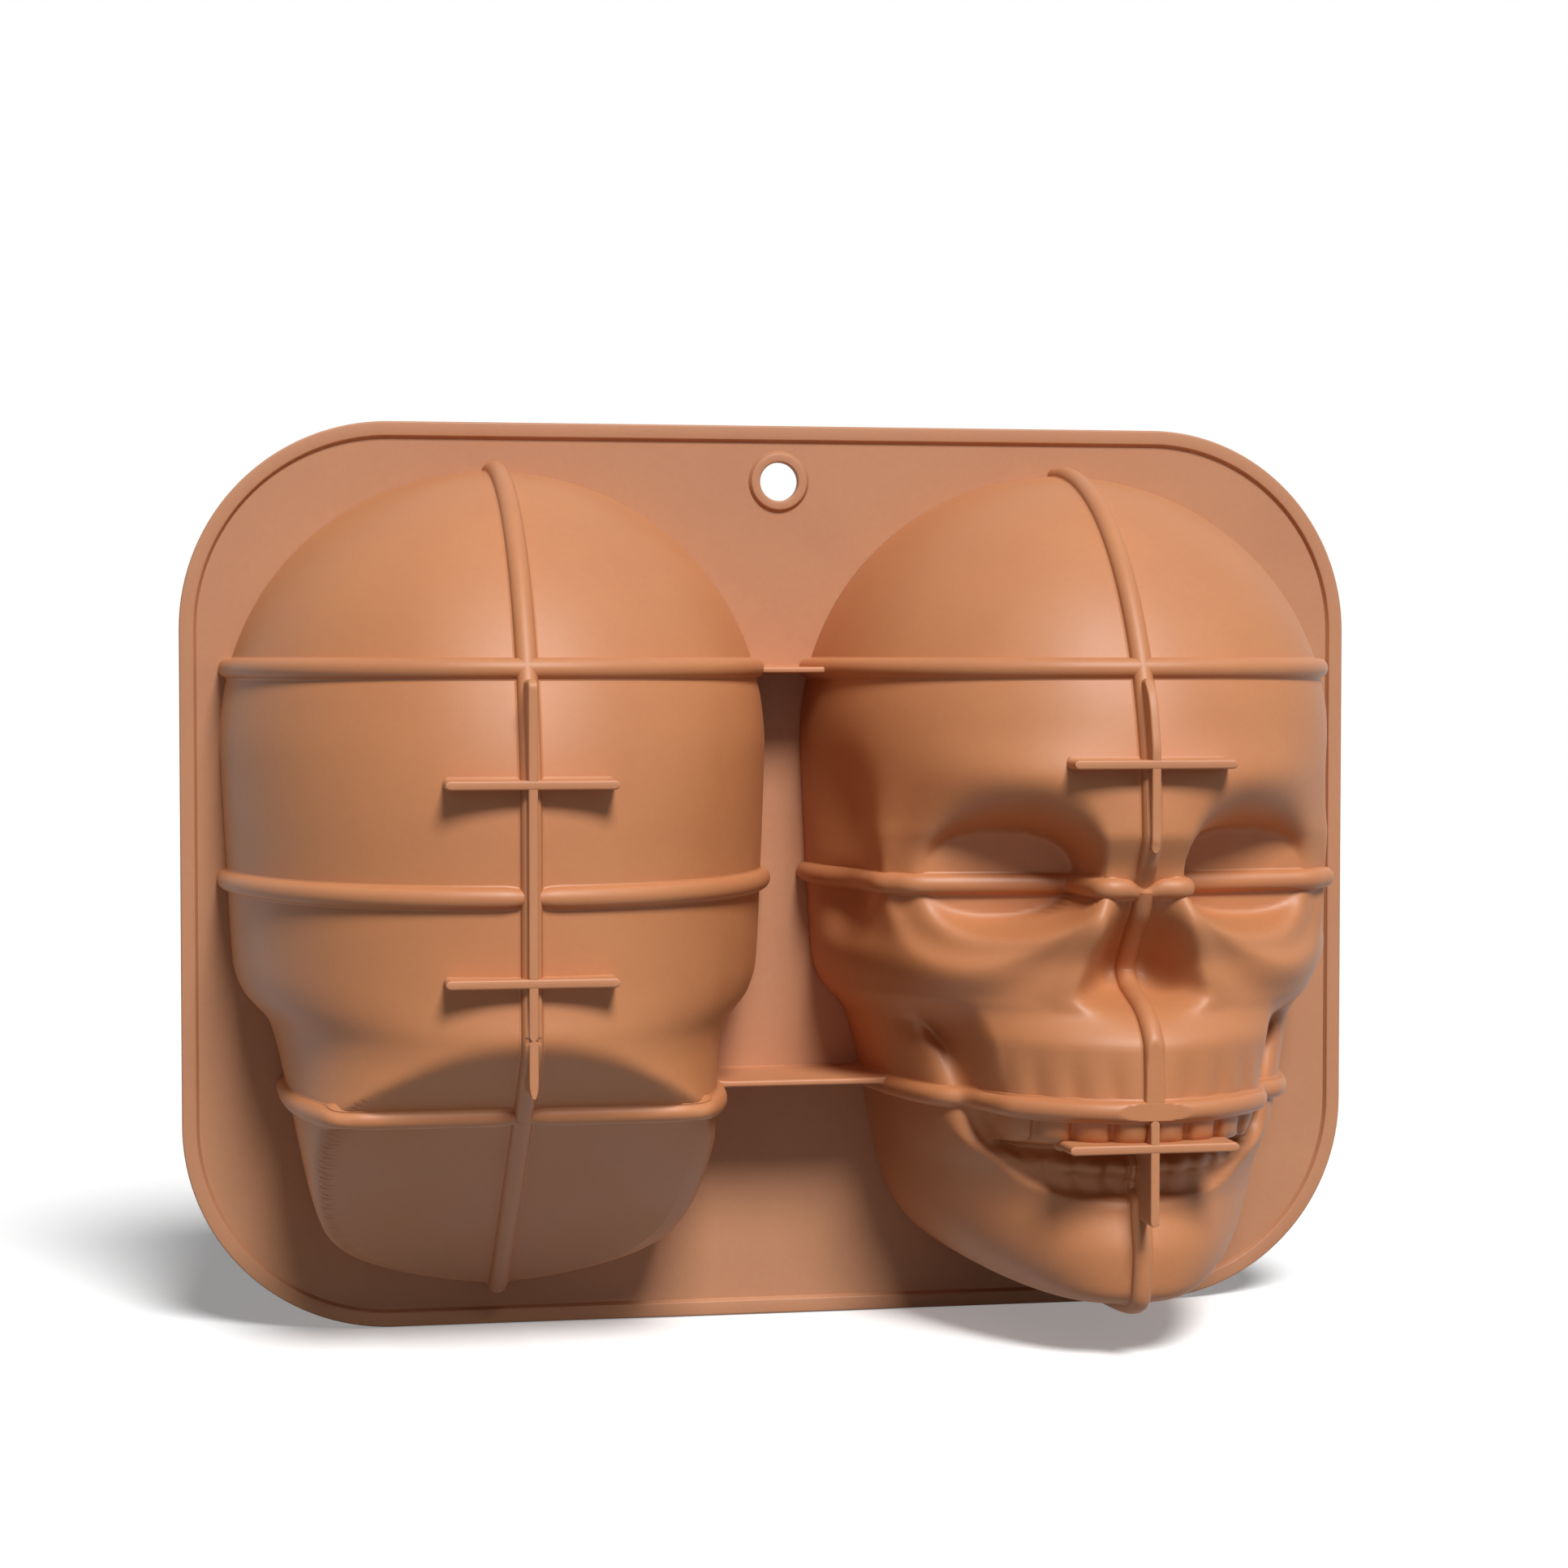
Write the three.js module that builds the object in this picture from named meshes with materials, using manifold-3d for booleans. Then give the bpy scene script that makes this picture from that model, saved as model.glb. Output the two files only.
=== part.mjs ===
// Silicone cake mould in the shape of a skull in two halves, back and face, under one flange.
// It stands on the flat edges of its foot webs at z = 0, with both cavities open upwards.
// Millimetres, +Z up, +X towards the back half, +Y towards the crown.
import * as THREE from "three";
import { mergeVertices } from "three/addons/utils/BufferGeometryUtils.js";
import Module from "manifold-3d";

// Flange and rim
const sheetThickness = 2.0;
const sideMargin = 9.4; // from a half's widest line to the flange's short edge
const crownMargin = 11.9; // from the crown to the flange's long edge
const chinMargin = 10.2; // from the chin to the other long edge
const cornerRadius = 50;
const rimWidth = 3.6;
const rimHeight = 1.0;
const hangBore = 9.4;
const hangBossOuter = 14.0;
const hangInset = 13.6; // from the flange's edge to the centre of the hanging hole

// The two halves, seen from outside
const headHalfWidth = 65.2;
const halvesGap = 10.4; // between the widest lines of the two halves
const wall = 3.0;
const crownY = 97.3;
const chinY = -99.0;
const outlineCentreY = 32; // where the half is widest
const domeCentreY = 12; // above this level both halves are the same dome
const domeDepth = 81.8;
const footRise = 4.2; // from the dome's deepest line to the plane the mould stands on

// Ribs, bands and webs on the outside
const ribWidth = 5.0;
const ribProud = 2.5;
const bandPitch = 50; // between the three bands of a half
const webThickness = 1.9;
const footBarLength = 38;
const mouthBarLength = 39.5;
const foreheadWebEndY = 9;
const barUnderBand = 25.2; // from the back's upper band down to the first foot bar
const barOverBand = 31.5; // from the nape band up to the second foot bar
const foreheadBarUnderBand = 21.5;
const mouthBarUnderBand = 8.4;
const mouthWebUnderBand = 26;
const chinRibUnderBand = 12; // the rib leaves the upper teeth free and starts again on the chin
const webSinksOverBand = 24.5; // the back's web sinks into the rib where the rib is flush with the feet
const webRisesOverBand = 13;
const webEndsOverBand = 7;
const tieThickness = 1.4;
const upperTieDepth = 21;
const lowerTieDepth = 27;

// Face relief
const socketAcross = 29;
const socketY = 5;
const socketHalfWidth = 21;
const socketHalfHeight = 17.5;
const socketDepth = 17;
const noseY = -15;
const noseHalfHeight = 14.5;
const noseDepth = 14;
const archHalfWidth = 41; // the row of upper teeth bends back to this half width
const teethPerQuarter = 7;
const toothAngle = Math.asin(1) / (teethPerQuarter + 0.37);
const mouthDepth = 8;
const teethEdgeY = -59.5;

// Fits and facets
const seatGap = 0.35; // clearance under every rib, band and web
const backColumns = 20;
const archColumns = 2 * teethPerQuarter;
const sideColumns = 4; // an even number, so that every second column still ends at the rim

// Derived layout
const halfPitch = headHalfWidth + halvesGap / 2;
const flangeLength = 2 * (halfPitch + headHalfWidth + sideMargin);
const flangeTopY = crownY + crownMargin;
const flangeBottomY = chinY - chinMargin;
const flangeWidth = flangeTopY - flangeBottomY;
const centreY = (flangeTopY + flangeBottomY) / 2;
const footDepth = domeDepth + footRise; // from the flange's underside down to the foot plane
const sheetUnderZ = footDepth;
const bandLevels = [bandPitch, 0, -bandPitch];
const backBarLevels = [bandPitch - barUnderBand, -bandPitch + barOverBand];
const foreheadBarY = bandPitch - foreheadBarUnderBand;
const mouthBarY = -bandPitch - mouthBarUnderBand;

// The curves below are drawn for a half of this height, half width and depth, and follow the sizes above
const tall = (crownY - chinY) / 196.3;
const broad = headHalfWidth / 65.2;
const stout = domeDepth / 81.8;

const wasm = await Module();
wasm.setup();
const { Manifold, Mesh } = wasm;

// Small formulas

// A smooth step from 0 at low to 1 at high.
function ease(x, low, high) {
  const t = Math.min(Math.max((x - low) / (high - low), 0), 1);
  return t * t * (3 - 2 * t);
}

// A bell of height 1 and width 1.
function bell(x) {
  return Math.exp(-x * x);
}

// A smooth curve through [level, value] knots that never overshoots them.
function through(knots) {
  const k = [...knots].sort((a, b) => a[0] - b[0]);
  const last = k.length - 1;
  const step = k.slice(1).map((b, i) => b[0] - k[i][0]);
  const rise = step.map((h, i) => (k[i + 1][1] - k[i][1]) / h);
  const slope = k.map((_, i) => {
    if (i === 0) return rise[0];
    if (i === last) return rise[last - 1];
    const product = rise[i - 1] * rise[i];
    return product <= 0 ? 0 : (2 * product) / (rise[i - 1] + rise[i]);
  });
  return (x) => {
    const v = Math.min(Math.max(x, k[0][0]), k[last][0]);
    let i = 0;
    while (i < last - 1 && v > k[i + 1][0]) i++;
    const t = (v - k[i][0]) / step[i];
    const ends = k[i][1] * (1 + 2 * t) * (1 - t) ** 2 + k[i + 1][1] * t * t * (3 - 2 * t);
    return ends + step[i] * t * (1 - t) * (slope[i] * (1 - t) - slope[i + 1] * t);
  };
}

// Closes a profile at its crown or chin: 1 at the level "from", 0 at the level "end".
function cap(y, from, end, p, q) {
  const u = Math.min(Math.max((y - from) / (end - from), 0), 1);
  return Math.max(1 - u ** p, 0) ** (1 / q);
}

// The skull's shape: for each level y a half outline, a depth and a roundness

const lowerHalfWidth = through(
  [
    [32, 0], [0, 1.6], [-20, 2.8], [-26, 4.7], [-34, 11.2],
    [-48, 14.9], [-62, 17.7], [-76, 20.7], [-98, 27.2],
  ].map(([y, narrower]) => [y * tall, headHalfWidth - narrower * broad]),
);

function halfWidthAt(y) {
  if (y > outlineCentreY) return headHalfWidth * cap(y, outlineCentreY, crownY, 2.08, 2);
  return lowerHalfWidth(y) * cap(y, -62 * tall, chinY, 4, 2.2);
}

const backDepth = through(
  [
    [12, 0], [-20, 0], [-26, 0.7], [-31, 2.2], [-35, 0.2], [-43, -10],
    [-52, -21], [-69, -40], [-84, -57], [-99, -74],
  ].map(([y, deeper]) => [y * tall, domeDepth + deeper * stout]),
);
const faceDepth = through([
  ...[[12, 0], [2, -4.8], [-8, -1.2], [-18, -6.2], [-28, -4.6]].map(
    ([y, deeper]) => [y * tall, domeDepth + deeper * stout],
  ),
  ...[
    [-36, 2], [-50, 1.4], [-57, 4], [-62, 6], [-68, 10.5], [-74, 12.2], [-84, 10.5], [-98, 12],
  ].map(([y, shallower]) => [y * tall, footDepth - shallower * stout]),
]);

// How round the slice across a half is at each level: 2 is an ellipse, 4 nearly a box.
function roundnessAt(knots) {
  return through(knots.map(([y, power]) => [y * tall, power]));
}

const halves = {
  back: {
    x: halfPitch,
    depth: (y) => backDepth(y) * cap(y, -92 * tall, chinY, 6, 2),
    roundness: roundnessAt([[40, 2.0], [0, 2.15], [-25, 2.6], [-40, 3.4], [-52, 4.0], [-70, 3.6], [-98, 2.6]]),
    relief: () => 0,
  },
  face: {
    x: -halfPitch,
    depth: (y) => faceDepth(y) * cap(y, -86 * tall, chinY, 9, 2.2),
    roundness: roundnessAt([
      [40, 2.05], [5, 2.0], [-20, 1.95], [-36, 2.0], [-56, 2.05],
      [-70, 1.95], [-80, 2.0], [-90, 2.3], [-97, 2.8],
    ]),
    relief: faceRelief,
  },
};

function depthAt(half, y) {
  return y > domeCentreY ? domeDepth * cap(y, domeCentreY, crownY, 2, 2) : half.depth(y);
}

// Half widths of the nose opening and of the upper jaw, and the lower jaw's upper edge
const noseHalfWidth = through([[-31, 6], [-27, 11.5], [-20, 14], [-10, 11.5], [-2, 8], [4, 6]]);
const archSide = through([[-75, 30], [-58, 38.5], [-50, 38.5], [-40, 37], [-32, 38], [-26, 60]]);
const jawEdge = through([
  [0, -71], [16, -70], [26, -66.5], [34, -59], [40, -49], [44, -38], [47, -30], [60, -24],
]);

function oval(u, v, power) {
  return (Math.abs(u) ** power + Math.abs(v) ** power) ** (1 / power);
}

// How far the face stands out from its smooth base, in millimetres, negative for a hollow.
function faceRelief(acrossHere, yHere, deepHere) {
  // s, y and deep are the place on a half of the size that the typed numbers are drawn for
  const s = Math.abs(acrossHere) / broad;
  const y = yHere / tall;
  const deep = deepHere / stout;
  let out = 0;
  // Brow ridge and the bridge between the brows
  out += 2.0 * bell((s - 27) / 17) * bell((y - 24) / 6);
  out += 0.5 * bell(s / 10) * bell((y - 12) / 8);
  // Eye sockets, drooping outwards
  const droop = THREE.MathUtils.degToRad(-10);
  const sideways = Math.abs(acrossHere) - socketAcross;
  const u = sideways * Math.cos(droop) - (yHere - socketY) * Math.sin(droop);
  const v = sideways * Math.sin(droop) + (yHere - socketY) * Math.cos(droop);
  const socket = oval(u / socketHalfWidth, v / socketHalfHeight, 2.5);
  out -= socketDepth * (1 - ease(socket, 0.2, 1));
  // Outer rim of the socket, cheekbone and temple hollow
  out += 2.2 * bell((s - 52) / 4.5) * bell((y - 2) / 14);
  out += 3.6 * bell((s - 47) / 13) * bell((y + 18) / 7);
  out -= 6.0 * bell((y + 4) / 9) * bell((deep - 21) / 10) * ease(s, 50, 57);
  // Nose opening and its raised edge
  const nose = oval(s / noseHalfWidth(y), (yHere - noseY) / noseHalfHeight, 2.6);
  out -= noseDepth * (1 - ease(nose, 0.3, 1.05));
  out += 1.2 * bell((nose - 1.25) / 0.25) * ease(s, 2, 8);
  // The upper jaw narrows to the arch of the teeth
  out -= 4.5 * bell((s - 36) / 10) * ease(y, -62, -56) * (1 - ease(y, -38, -24));
  // Open cheek and mouth, between the upper jaw and the lower jaw's edge
  const biting = ease(yHere, teethEdgeY - 2.5, teethEdgeY + 2.5);
  const upper = ease(archSide(y) - s, -5, 5) * biting;
  const open = ease(y - jawEdge(s), -2, 6) * (1 - upper) * (1 - ease(y, -42, -26));
  out -= (mouthDepth - 3 * ease(s, 30, 44)) * open;
  // Rolled edge of the jaw branch
  out += 2.4 * bell((y - jawEdge(s) + 4) / 4.2) * ease(s, 16, 36) * (1 - ease(y, -38, -28));
  // Upper teeth and the ridges of their roots
  const count = Math.asin(Math.min(Math.abs(acrossHere) / archHalfWidth, 1)) / toothAngle;
  const offGap = Math.abs(count - Math.round(count));
  out -= 1.6 * bell(offGap / 0.13) * upper * (1 - ease(y, -53.5, -49));
  out -= 1.1 * bell(offGap / 0.28) * upper * ease(y, -54, -50) * (1 - ease(y, -46, -33)) * ease(s, 3, 6);
  // Lower teeth, set back under the upper ones
  const lower = ease(y, -72.5, -69.5) * (1 - ease(y, -64.5, -62)) * ease(30 - s, -3, 3);
  out += lower * (3.5 - 1.2 * bell(offGap / 0.17));
  // Chin
  out += 1.5 * bell((s - 9) / 10) * bell((y + 86) / 8);
  out -= 1.5 * bell(s / 24) * bell((y + 75.5) / 3.5);
  return out * ease(deep, 1, 15);
}

// The surface of a half at level y and column cosine c, pushed out by "out" along its normal.
function surfacePoint(half, y, c, out) {
  const width = halfWidthAt(y);
  const depth = depthAt(half, y);
  const n = half.roundness(y);
  const rise = Math.sqrt(Math.max(1 - c * c, 0));
  const across = width * Math.sign(c) * Math.abs(c) ** (2 / n);
  const deep = depth * rise ** (2 / n);
  const normal = new THREE.Vector3(0, Math.sign(y), 0);
  let relief = 0;
  if (width > 1e-3 && depth > 1e-3) {
    const step = 0.05;
    const up = Math.min(y + step, crownY - 1e-3);
    const down = Math.max(y - step, chinY + 1e-3);
    const level = (at) =>
      (Math.abs(across) / halfWidthAt(at)) ** n + (deep / depthAt(half, at)) ** n;
    const gx = (n * Math.sign(across) * Math.abs(across) ** (n - 1)) / width ** n;
    const gz = (n * deep ** (n - 1)) / depth ** n;
    normal.set(gx, (level(up) - level(down)) / (up - down), gz).normalize();
    const flat = Math.hypot(gx, gz);
    relief = half.relief(across, y, deep) / flat;
    return new THREE.Vector3(
      across + relief * gx + out * normal.x,
      y + out * normal.y,
      deep + relief * gz + out * normal.z,
    );
  }
  return new THREE.Vector3(across, y + out * normal.y, deep);
}

// The surface at a distance across from the median line.
function surfaceAcross(half, y, across, out) {
  const width = halfWidthAt(y);
  if (width < 1 + Math.abs(across) * 1.5) {
    const end = surfacePoint(half, y, 0, out);
    return new THREE.Vector3(across, end.y, end.z);
  }
  const c = Math.sign(across) * (Math.abs(across) / width) ** (half.roundness(y) / 2);
  return surfacePoint(half, y, c, out);
}

// Places a point of a half into the part's own frame.
function toPart(half, p) {
  return new THREE.Vector3(half.x + p.x, p.y - centreY, sheetUnderZ - p.z);
}

// Rows and columns of the facets

function spread(from, to, count) {
  return Array.from({ length: count }, (_, i) => from + ((to - from) * i) / count);
}

// Levels from crown to chin, with a row on both edges and the crest of each band.
function rowLevels(spacing, capFrom, capPower, capRoot) {
  const edge = ribWidth / 2;
  const top = bandPitch + edge;
  const start = Math.acos((top - domeCentreY) / (crownY - domeCentreY));
  const rows = spread(0, start, Math.round(80 / (spacing * 2.4)) + 2).map(
    (angle) => domeCentreY + (crownY - domeCentreY) * Math.cos(angle),
  );
  bandLevels.forEach((level, i) => {
    rows.push(level + edge, level);
    const next = i < 2 ? bandLevels[i + 1] + edge : capFrom;
    const run = level - edge - next;
    rows.push(...spread(level - edge, next, Math.max(Math.round(run / spacing), 1)));
  });
  const steps = 6;
  for (let i = 0; i <= steps; i++) {
    const closing = Math.cos((i / steps) * (Math.PI / 2)) ** capRoot;
    rows.push(capFrom + (chinY - capFrom) * Math.max(1 - closing, 0) ** (1 / capPower));
  }
  return rows;
}

// Column cosines from +1 to -1: even on the back, and on the face one per tooth and per gap.
function columnCosines(kind) {
  const quarter = [];
  if (kind === "back") {
    for (let i = 0; i < backColumns / 2; i++) quarter.push(Math.sin((i / (backColumns / 2)) * (Math.PI / 2)));
  } else {
    const jawWidth = halfWidthAt(teethEdgeY);
    const power = halves.face.roundness(teethEdgeY) / 2;
    for (let i = 0; i <= archColumns; i++) {
      quarter.push(((archHalfWidth * Math.sin((i * toothAngle) / 2)) / jawWidth) ** power);
    }
    const last = Math.asin(quarter[quarter.length - 1]);
    for (let i = 1; i < sideColumns; i++) {
      quarter.push(Math.sin(last + ((Math.PI / 2 - last) * i) / sideColumns));
    }
  }
  quarter.push(1);
  return [...quarter.slice(1).reverse(), 0, ...quarter.slice(1).map((c) => -c)];
}

const rows = {
  back: rowLevels(9, -92 * tall, 6, 2),
  face: rowLevels(5, -86 * tall, 9, 2.2),
};
const columns = { back: columnCosines("back"), face: columnCosines("face") };

// Solids from rings of points

// A closed mesh through rings of equally many points, with flat ends, facing out.
function loft(rings) {
  const size = rings[0].length;
  const position = new Float32Array(rings.flat().flatMap((p) => [p.x, p.y, p.z]));
  const index = [];
  for (let i = 0; i < rings.length - 1; i++) {
    for (let j = 0; j < size; j++) {
      const a = i * size + j;
      const b = i * size + ((j + 1) % size);
      index.push(a, b, b + size, a, b + size, a + size);
    }
  }
  const lastRing = (rings.length - 1) * size;
  for (let j = 1; j < size - 1; j++) {
    index.push(0, j + 1, j, lastRing, lastRing + j, lastRing + j + 1);
  }
  const geometry = new THREE.BufferGeometry();
  geometry.setAttribute("position", new THREE.BufferAttribute(position, 3));
  geometry.setIndex(index);
  return solidOf(geometry);
}

// A three.js geometry as a solid, its vertices merged and its faces turned outwards.
function solidOf(source) {
  const bare = source.clone();
  bare.deleteAttribute("normal");
  bare.deleteAttribute("uv");
  const merged = mergeVertices(bare, 1e-4);
  const vertices = merged.attributes.position.array;
  const faces = [];
  const old = merged.index.array;
  for (let i = 0; i < old.length; i += 3) {
    const [a, b, c] = [old[i], old[i + 1], old[i + 2]];
    if (a !== b && b !== c && c !== a) faces.push(a, b, c);
  }
  if (signedVolume(vertices, faces) < 0) {
    for (let i = 0; i < faces.length; i += 3) {
      [faces[i + 1], faces[i + 2]] = [faces[i + 2], faces[i + 1]];
    }
  }
  return new Manifold(
    new Mesh({ numProp: 3, vertProperties: vertices, triVerts: new Uint32Array(faces) }),
  );
}

function signedVolume(vertices, faces) {
  const corner = [0, 1, 2].map(() => new THREE.Vector3());
  let volume = 0;
  for (let i = 0; i < faces.length; i += 3) {
    corner.forEach((p, k) => p.fromArray(vertices, faces[i + k] * 3));
    volume += corner[0].dot(corner[1].clone().cross(corner[2]));
  }
  return volume;
}

const part = new THREE.Group();

// The largest body of a solid that a cut has left in several.
function largest(solid) {
  const bodiesOf = solid.decompose();
  return bodiesOf.reduce((best, piece) => (piece.volume() > best.volume() ? piece : best));
}

// Adds a solid to the part as a named mesh of its own material.
function addPiece(name, solid, colour, roughness) {
  const { numProp, vertProperties, triVerts } = solid.getMesh();
  const position = new Float32Array((vertProperties.length / numProp) * 3);
  for (let i = 0; i < position.length / 3; i++) {
    for (let k = 0; k < 3; k++) position[3 * i + k] = vertProperties[numProp * i + k];
  }
  const geometry = new THREE.BufferGeometry();
  geometry.setAttribute("position", new THREE.BufferAttribute(position, 3));
  geometry.setIndex(new THREE.BufferAttribute(new Uint32Array(triVerts), 1));
  const material = new THREE.MeshStandardMaterial({ color: colour, roughness, metalness: 0 });
  const mesh = new THREE.Mesh(geometry, material);
  mesh.name = name;
  part.add(mesh);
}

// The body of a half, full, its surface moved out by "out"; "above" carries it past the flange's underside.
function fullHalf(kind, out, above, every) {
  const half = halves[kind];
  const cosines = columns[kind].filter((_, i) => i % every === 0);
  const rings = rows[kind].map((y) => {
    const ring = cosines.map((c) => toPart(half, surfacePoint(half, y, c, out)));
    if (above > 0) {
      const first = ring[0];
      const last = ring[ring.length - 1];
      ring.push(new THREE.Vector3(last.x, last.y, last.z + above));
      ring.push(new THREE.Vector3(first.x, first.y, first.z + above));
    }
    return ring;
  });
  return loft(rings);
}

// The outline of a half's cavity at the flange.
function cavityOutline(kind) {
  const half = halves[kind];
  const right = rows[kind].map((y) => toPart(half, surfacePoint(half, y, 1, -wall)));
  const left = rows[kind].map((y) => toPart(half, surfacePoint(half, y, -1, -wall)));
  return new THREE.Path([...right, ...left.reverse().slice(1, -1)].map((p) => new THREE.Vector2(p.x, p.y)));
}

// A rounded rectangle, "inset" inside the flange's outline.
function flangeOutline(inset, Kind) {
  const x = flangeLength / 2 - inset;
  const y = flangeWidth / 2 - inset;
  const r = cornerRadius - inset;
  const outline = new Kind();
  outline.moveTo(x, -y + r);
  outline.lineTo(x, y - r);
  outline.absarc(x - r, y - r, r, 0, Math.PI / 2);
  outline.lineTo(-x + r, y);
  outline.absarc(-x + r, y - r, r, Math.PI / 2, Math.PI);
  outline.lineTo(-x, -y + r);
  outline.absarc(-x + r, -y + r, r, Math.PI, 1.5 * Math.PI);
  outline.lineTo(x - r, -y);
  outline.absarc(x - r, -y + r, r, 1.5 * Math.PI, 2 * Math.PI);
  return outline;
}

const hangY = flangeWidth / 2 - hangInset;

function circleAt(radius, Kind) {
  return new Kind().absarc(0, hangY, radius, 0, 2 * Math.PI);
}

function slab(shape, bottom, height) {
  const geometry = new THREE.ExtrudeGeometry(shape, { depth: height, bevelEnabled: false, curveSegments: 6 });
  return solidOf(geometry.translate(0, 0, bottom));
}

// The section of a rib: how far across its half width, and the share of its full height there.
const ribSection = [[-1, 0], [-0.45, 1], [0.45, 1], [1, 0]];
const ribEdge = 0.5; // height of a rib's side above its seat
const ribRoot = 1.2; // how far the section is carried into the wall before it is cut back

function ribRing(half, pointAt, grow) {
  const edge = seatGap + ribEdge + grow;
  const proud = ribProud + grow;
  const top = ribSection.map(([k, share]) => pointAt(k, edge + (proud - edge) * share));
  const ring = [...top, pointAt(1, -ribRoot), pointAt(-1, -ribRoot)];
  ring.forEach((p) => {
    p.z = Math.min(p.z, footDepth);
  });
  return ring.map((p) => toPart(half, p));
}

// A band round a half at one level, from flange to flange.
function band(kind, level, grow) {
  const half = halves[kind];
  const reach = ribWidth / 2 + grow;
  const rings = columns[kind].map((c) =>
    ribRing(half, (k, out) => surfacePoint(half, level + k * reach, c, out), grow),
  );
  return loft(rings);
}

// A stretch of the median rib between two levels.
function medianRib(kind, from, to, grow) {
  const half = halves[kind];
  const reach = ribWidth / 2 + grow;
  const between = rows[kind].filter((y) => y < from - 0.4 && y > to + 0.4);
  const levels = [from + grow, ...between, to - grow];
  const rings = levels.map((y) =>
    ribRing(half, (k, out) => surfaceAcross(half, y, k * reach, out), grow),
  );
  return loft(rings);
}

// A straight plate in the part's frame, from its two corners.
function plate(half, low, high) {
  const size = new THREE.Vector3().subVectors(high, low);
  const geometry = new THREE.BoxGeometry(size.x, size.y, size.z);
  const centre = new THREE.Vector3().addVectors(low, high).multiplyScalar(0.5);
  geometry.translate(half.x + centre.x, centre.y - centreY, sheetUnderZ - centre.z);
  return solidOf(geometry);
}

// The halves

const materialColour = { shell: 0xc98f72, flange: 0xc28467, rib: 0xcf9677, web: 0xd39b7d };

const silicone = 0.62;
const bodies = {};
for (const kind of ["back", "face"]) {
  bodies[kind] = fullHalf(kind, seatGap, 0, 1);
  const cavity = fullHalf(kind, -wall, rimHeight + sheetThickness, kind === "face" ? 1 : 2);
  const shell = fullHalf(kind, 0, 0, 1).subtract(cavity);
  addPiece(kind + "_shell", shell, materialColour.shell, silicone);
}

// Flange, rim and hanging hole

const sheetShape = flangeOutline(0, THREE.Shape);
sheetShape.holes.push(cavityOutline("back"), cavityOutline("face"), circleAt(hangBore / 2, THREE.Path));
addPiece("flange_sheet", slab(sheetShape, sheetUnderZ, sheetThickness), materialColour.flange, silicone);

const rimShape = flangeOutline(0, THREE.Shape);
rimShape.holes.push(flangeOutline(rimWidth, THREE.Path));
addPiece("rim_bead", slab(rimShape, sheetUnderZ - rimHeight, rimHeight), materialColour.flange, silicone);

const bossShape = circleAt(hangBossOuter / 2, THREE.Shape);
bossShape.holes.push(circleAt(hangBore / 2, THREE.Path));
addPiece("hang_eye_boss", slab(bossShape, sheetUnderZ - rimHeight, rimHeight), materialColour.flange, silicone);

// Bands and the median ribs between them

const bandNames = {
  back: ["back_upper_band", "back_middle_band", "back_nape_band"],
  face: ["face_forehead_band", "face_eye_band", "face_jaw_band"],
};
const ribNames = {
  back: ["back_crown_rib", "back_upper_rib", "back_lower_rib", "back_nape_rib"],
  face: ["face_crown_rib", "face_forehead_rib", "face_nose_rib", "face_chin_rib"],
};
const trims = { back: [], face: [] };
for (const kind of ["back", "face"]) {
  bandLevels.forEach((level, i) => {
    addPiece(bandNames[kind][i], largest(band(kind, level, 0).subtract(bodies[kind])), materialColour.rib, silicone);
    trims[kind].push(band(kind, level, seatGap));
  });
  const stops = [crownY, ...bandLevels, chinY];
  ribNames[kind].forEach((name, i) => {
    const clear = ribWidth / 2 + seatGap;
    const start = i === 3 && kind === "face" ? -bandPitch - chinRibUnderBand : stops[i] - clear;
    const from = i === 0 ? stops[i] : start;
    const to = i === 3 ? stops[i + 1] : stops[i + 1] + clear;
    addPiece(name, largest(medianRib(kind, from, to, 0).subtract(bodies[kind])), materialColour.rib, silicone);
    trims[kind].push(medianRib(kind, from, to, seatGap));
  });
}

// Webs

// Cuts a plate to sit on its half, clear of the ribs and bands it stands beside or over.
function seated(plateSolid, kinds) {
  let solid = plateSolid;
  for (const kind of kinds) {
    solid = solid.subtract(bodies[kind]);
    for (const trim of trims[kind]) solid = solid.subtract(trim);
  }
  return largest(solid);
}

// A bar across the median line, with its lower edge on the foot plane.
function footBar(kind, level, length) {
  const low = new THREE.Vector3(-length / 2, level - webThickness / 2, domeDepth - 25);
  const high = new THREE.Vector3(length / 2, level + webThickness / 2, footDepth);
  return seated(plate(halves[kind], low, high), [kind]);
}

// A web along the median line between two levels.
function medianWeb(kind, from, to) {
  const low = new THREE.Vector3(-webThickness / 2, to, domeDepth - 25);
  const high = new THREE.Vector3(webThickness / 2, from, footDepth);
  return seated(plate(halves[kind], low, high), [kind]);
}

const beside = webThickness / 2 + seatGap;
const underBand = ribWidth / 2 + seatGap;
const webRuns = [
  ["back_foot_web_upper", "back", bandPitch - underBand, backBarLevels[0] + beside],
  ["back_foot_web_middle", "back", backBarLevels[0] - beside, backBarLevels[1] + beside],
  ["back_foot_web_lower", "back", backBarLevels[1] - beside, -bandPitch + webSinksOverBand],
  ["back_foot_web_tail", "back", -bandPitch + webRisesOverBand, -bandPitch + webEndsOverBand],
  ["forehead_foot_web_upper", "face", bandPitch - underBand, foreheadBarY + beside],
  ["forehead_foot_web_lower", "face", foreheadBarY - beside, foreheadWebEndY],
  ["mouth_foot_web_upper", "face", -bandPitch - underBand, mouthBarY + beside],
  ["mouth_foot_web_lower", "face", mouthBarY - beside, -bandPitch - mouthWebUnderBand],
];
for (const [name, kind, from, to] of webRuns) {
  addPiece(name, medianWeb(kind, from, to), materialColour.web, silicone);
}
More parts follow.
